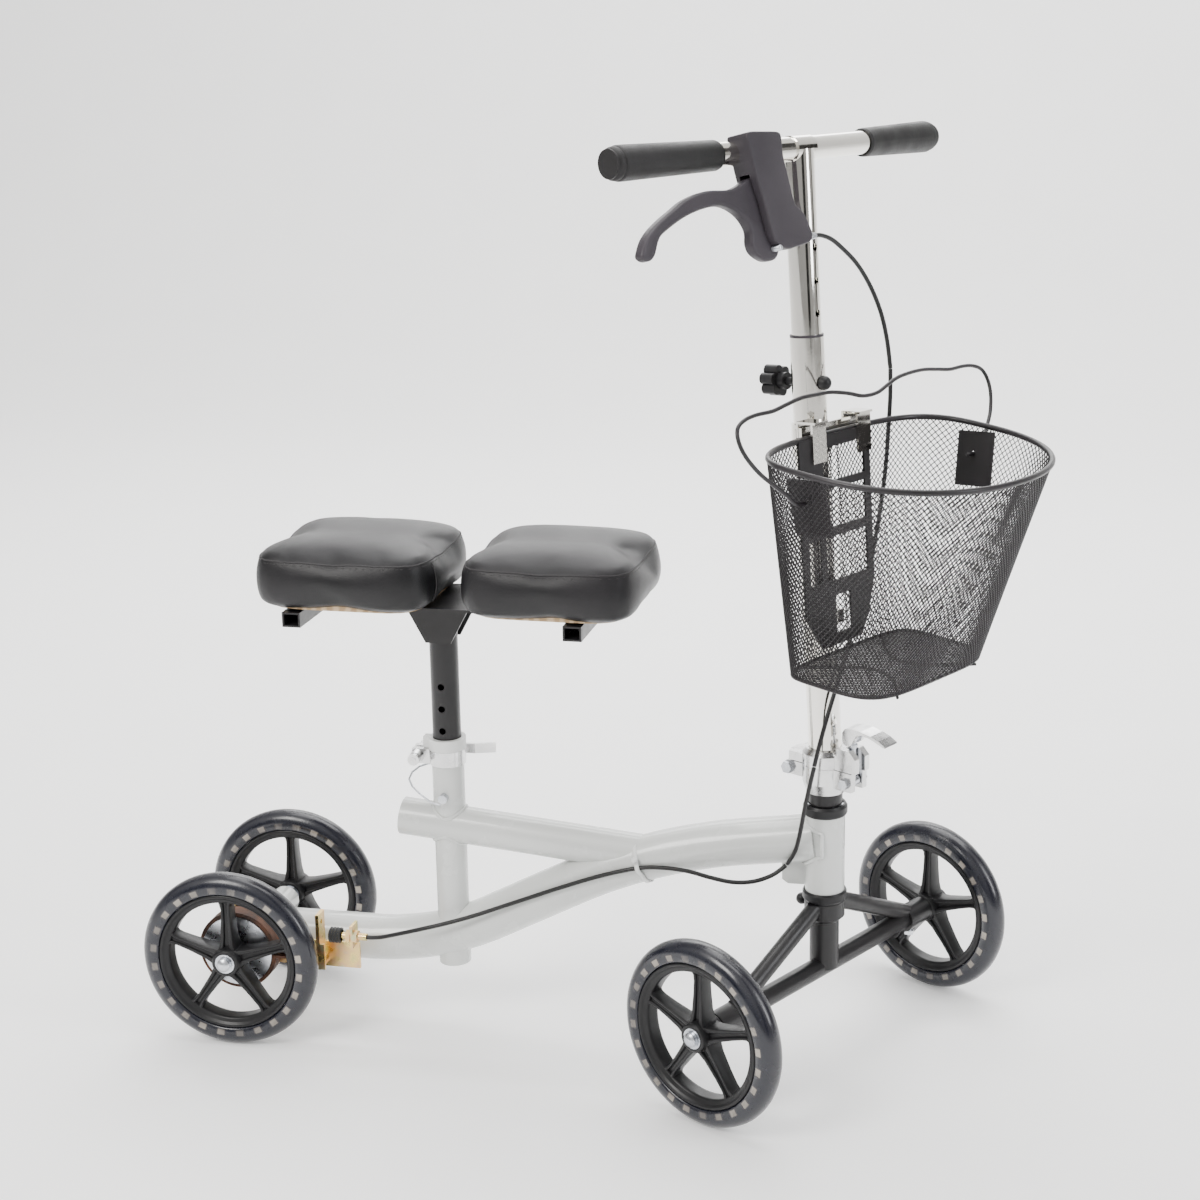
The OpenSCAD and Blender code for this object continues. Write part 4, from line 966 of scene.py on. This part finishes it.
def weld_line(a_point, a_axis, a_r, b_point, b_axis, b_r, sign, steps=72):
    """Where tube a's surface meets tube b's, following a's lines in the sign direction."""
    a_axis, b_axis = Vector(a_axis).normalized(), Vector(b_axis).normalized()
    a_point, b_point = Vector(a_point), Vector(b_point)
    u = a_axis.orthogonal().normalized()
    v = a_axis.cross(u)
    line = []
    for k in range(steps):
        turn = math.tau * k / steps
        start = a_point + a_r * (math.cos(turn) * u + math.sin(turn) * v) - b_point
        q = start - b_axis * start.dot(b_axis)
        d = a_axis - b_axis * a_axis.dot(b_axis)
        qa, qb, qc = d.dot(d), 2 * q.dot(d), q.dot(q) - b_r * b_r
        root = qb * qb - 4 * qa * qc
        s = (-qb + sign * math.sqrt(max(root, 0))) / (2 * qa)
        line.append(b_point + start + a_axis * s)
    return line


def bead(name, line, radius=0.0024):
    """A weld bead: a rippled tube along a closed line."""
    n = len(line)
    mesh = tube_mesh(name, line, radius, True, 10)
    ripple = [1 + 0.10 * math.sin(k * math.tau / 3.0) for k in range(n)]
    for i, v in enumerate(mesh.vertices):
        ring = i // 10
        v.co = line[ring] + (v.co - line[ring]) * ripple[ring]
    return mesh


# Radii of the welded tubes, in metres, where their beads lie.
MAIN_TUBE_R = 0.0255
MAIN_TUBE_FRONT_R = 0.0254
HEAD_TUBE_R = 0.0215
SEAT_TUBE_R = 0.0177
TOP_TUBE_R = 0.02075
AXLE_TUBE_R = 0.016
MAIN_TUBE_RISE = 7.7     # degrees, where it meets the head tube
TOP_TUBE_FALL = 5.5


def sloped(degrees):
    """A unit vector forward, rising by so many degrees."""
    return Vector((math.cos(math.radians(degrees)), 0, math.sin(math.radians(degrees))))


def make_frame_details():
    along = Vector((1, 0, 0))
    side = Vector((0, 1, 0))
    rise, fall = sloped(MAIN_TUBE_RISE), sloped(-TOP_TUBE_FALL)
    seat, main_back, head, front, top_back, rear_axle = placed([
        (226, 0, 0), (0, 0, 93), (645, 0, 0), (645, 0, 247.5), (172, 0, 242), (0, 0, 100)], AXLE)
    lines = [weld_line(front, rise, MAIN_TUBE_FRONT_R, head, UP, HEAD_TUBE_R, -1)]
    lines += [weld_line(seat, UP, SEAT_TUBE_R, top_back, fall, TOP_TUBE_R, end) for end in (1, -1)]
    lines += [weld_line(rear_axle, side, AXLE_TUBE_R, main_back, along, MAIN_TUBE_R, end) for end in (-1, 1)]
    beads = joined("weld_beads", [bead("bead", line) for line in lines])
    add_piece("weld_beads", beads, "frame", "white_paint", "white_paint")


TIE_AT = (445, 0, 209.4)
TIE_LEAN = 20            # slope of the main tube under the strap, in degrees
TIE_INNER_R, TIE_OUTER_R = 25.6, 26.8
TIE_BULGE = 5.6          # how far the strap stands out to pass over the cable


def make_cable_tie():
    """A white strap round the main tube and the cable, with its square head."""
    centre = placed([TIE_AT], AXLE)[0]
    lean = math.radians(TIE_LEAN)
    along = sloped(TIE_LEAN)
    over = Vector((-math.sin(lean), 0, math.cos(lean)))
    side = Vector((0, -1, 0))
    verts, faces, n = [], [], 72
    for k in range(n):
        a = math.tau * k / n
        bulge = TIE_BULGE * math.exp(-((math.degrees(a) - 180) / 13) ** 2)
        direction = -math.cos(a) * side + math.sin(a) * over
        for r in (TIE_INNER_R + bulge, TIE_OUTER_R + bulge):
            verts += [centre + direction * r * MM + along * s * MM for s in (-2.3, 2.3)]
    for k in range(n):
        a, b = 4 * k, 4 * ((k + 1) % n)
        faces += [(a + i, a + j, b + j, b + i) for i, j in ((0, 1), (2, 3), (0, 2), (1, 3))]
    head = bmesh.new()
    bmesh.ops.create_cube(head, size=1)
    turn = basis(along, side, over, centre + side * 30 * MM + over * 10.5 * MM)
    bmesh.ops.transform(head, matrix=turn @ Matrix.Diagonal((0.0065, 0.0045, 0.006, 1)), verts=head.verts)
    bmesh.ops.bevel(head, geom=head.edges, offset=0.0006, segments=2, affect="EDGES")
    block = bpy.data.meshes.new("tie_head")
    head.to_mesh(block)
    head.free()
    strap = joined("cable_tie", [from_lists("strap", verts, faces), block])
    add_piece("cable_tie", strap, "frame", "white_plastic", "white_plastic")


BOOT_AT = (103.3, -62, 121)
BOOT_RIBS = 4
BOOT_PITCH = 3.5


def make_cable_boot():
    """The ribbed rubber boot on the brake's inner wire."""
    ribs = []
    for k in range(BOOT_RIBS):
        start = k * BOOT_PITCH
        ribs += [(0.0062, start), (0.0087, start + 1.2), (0.0087, start + 2.3)]
    profile = [(0.0012, 0)] + ribs + [(0.0062, 14.2), (0.0012, 14.2)]
    mesh = lathe_mesh("cable_boot", [(r, y * MM) for r, y in profile], 48)
    place = AXLE @ Matrix.Translation(Vector(BOOT_AT) * MM) @ Matrix.Rotation(math.radians(-90), 4, "Z")
    add_piece("cable_boot", mesh, "frame", "cable_cover", "dust_seal", place=place)


# ---------------------------------------------------------------- the whole scooter

def dress_cad_nodes():
    """Every carried-over CAD node takes the material of its slot in the record."""
    slots = {part["node"]: part["material_slot"] for part in frame["record"]["subparts"]}
    for name, node in NODES.items():
        node.data.materials.clear()
        node.data.materials.append(MATERIALS[slots[name]])


make_camera()
MATERIALS = make_materials()
make_cables()
make_studio()
dress_cad_nodes()
make_wheels()
make_boards()
make_pad("rear_cushion", "seat", "rear_pad", 1)
make_pad("front_cushion", "seat", "front_pad", -1)
make_basket()
make_handle()
make_brake_lever()
make_frame_details()
make_cable_tie()
make_cable_boot()
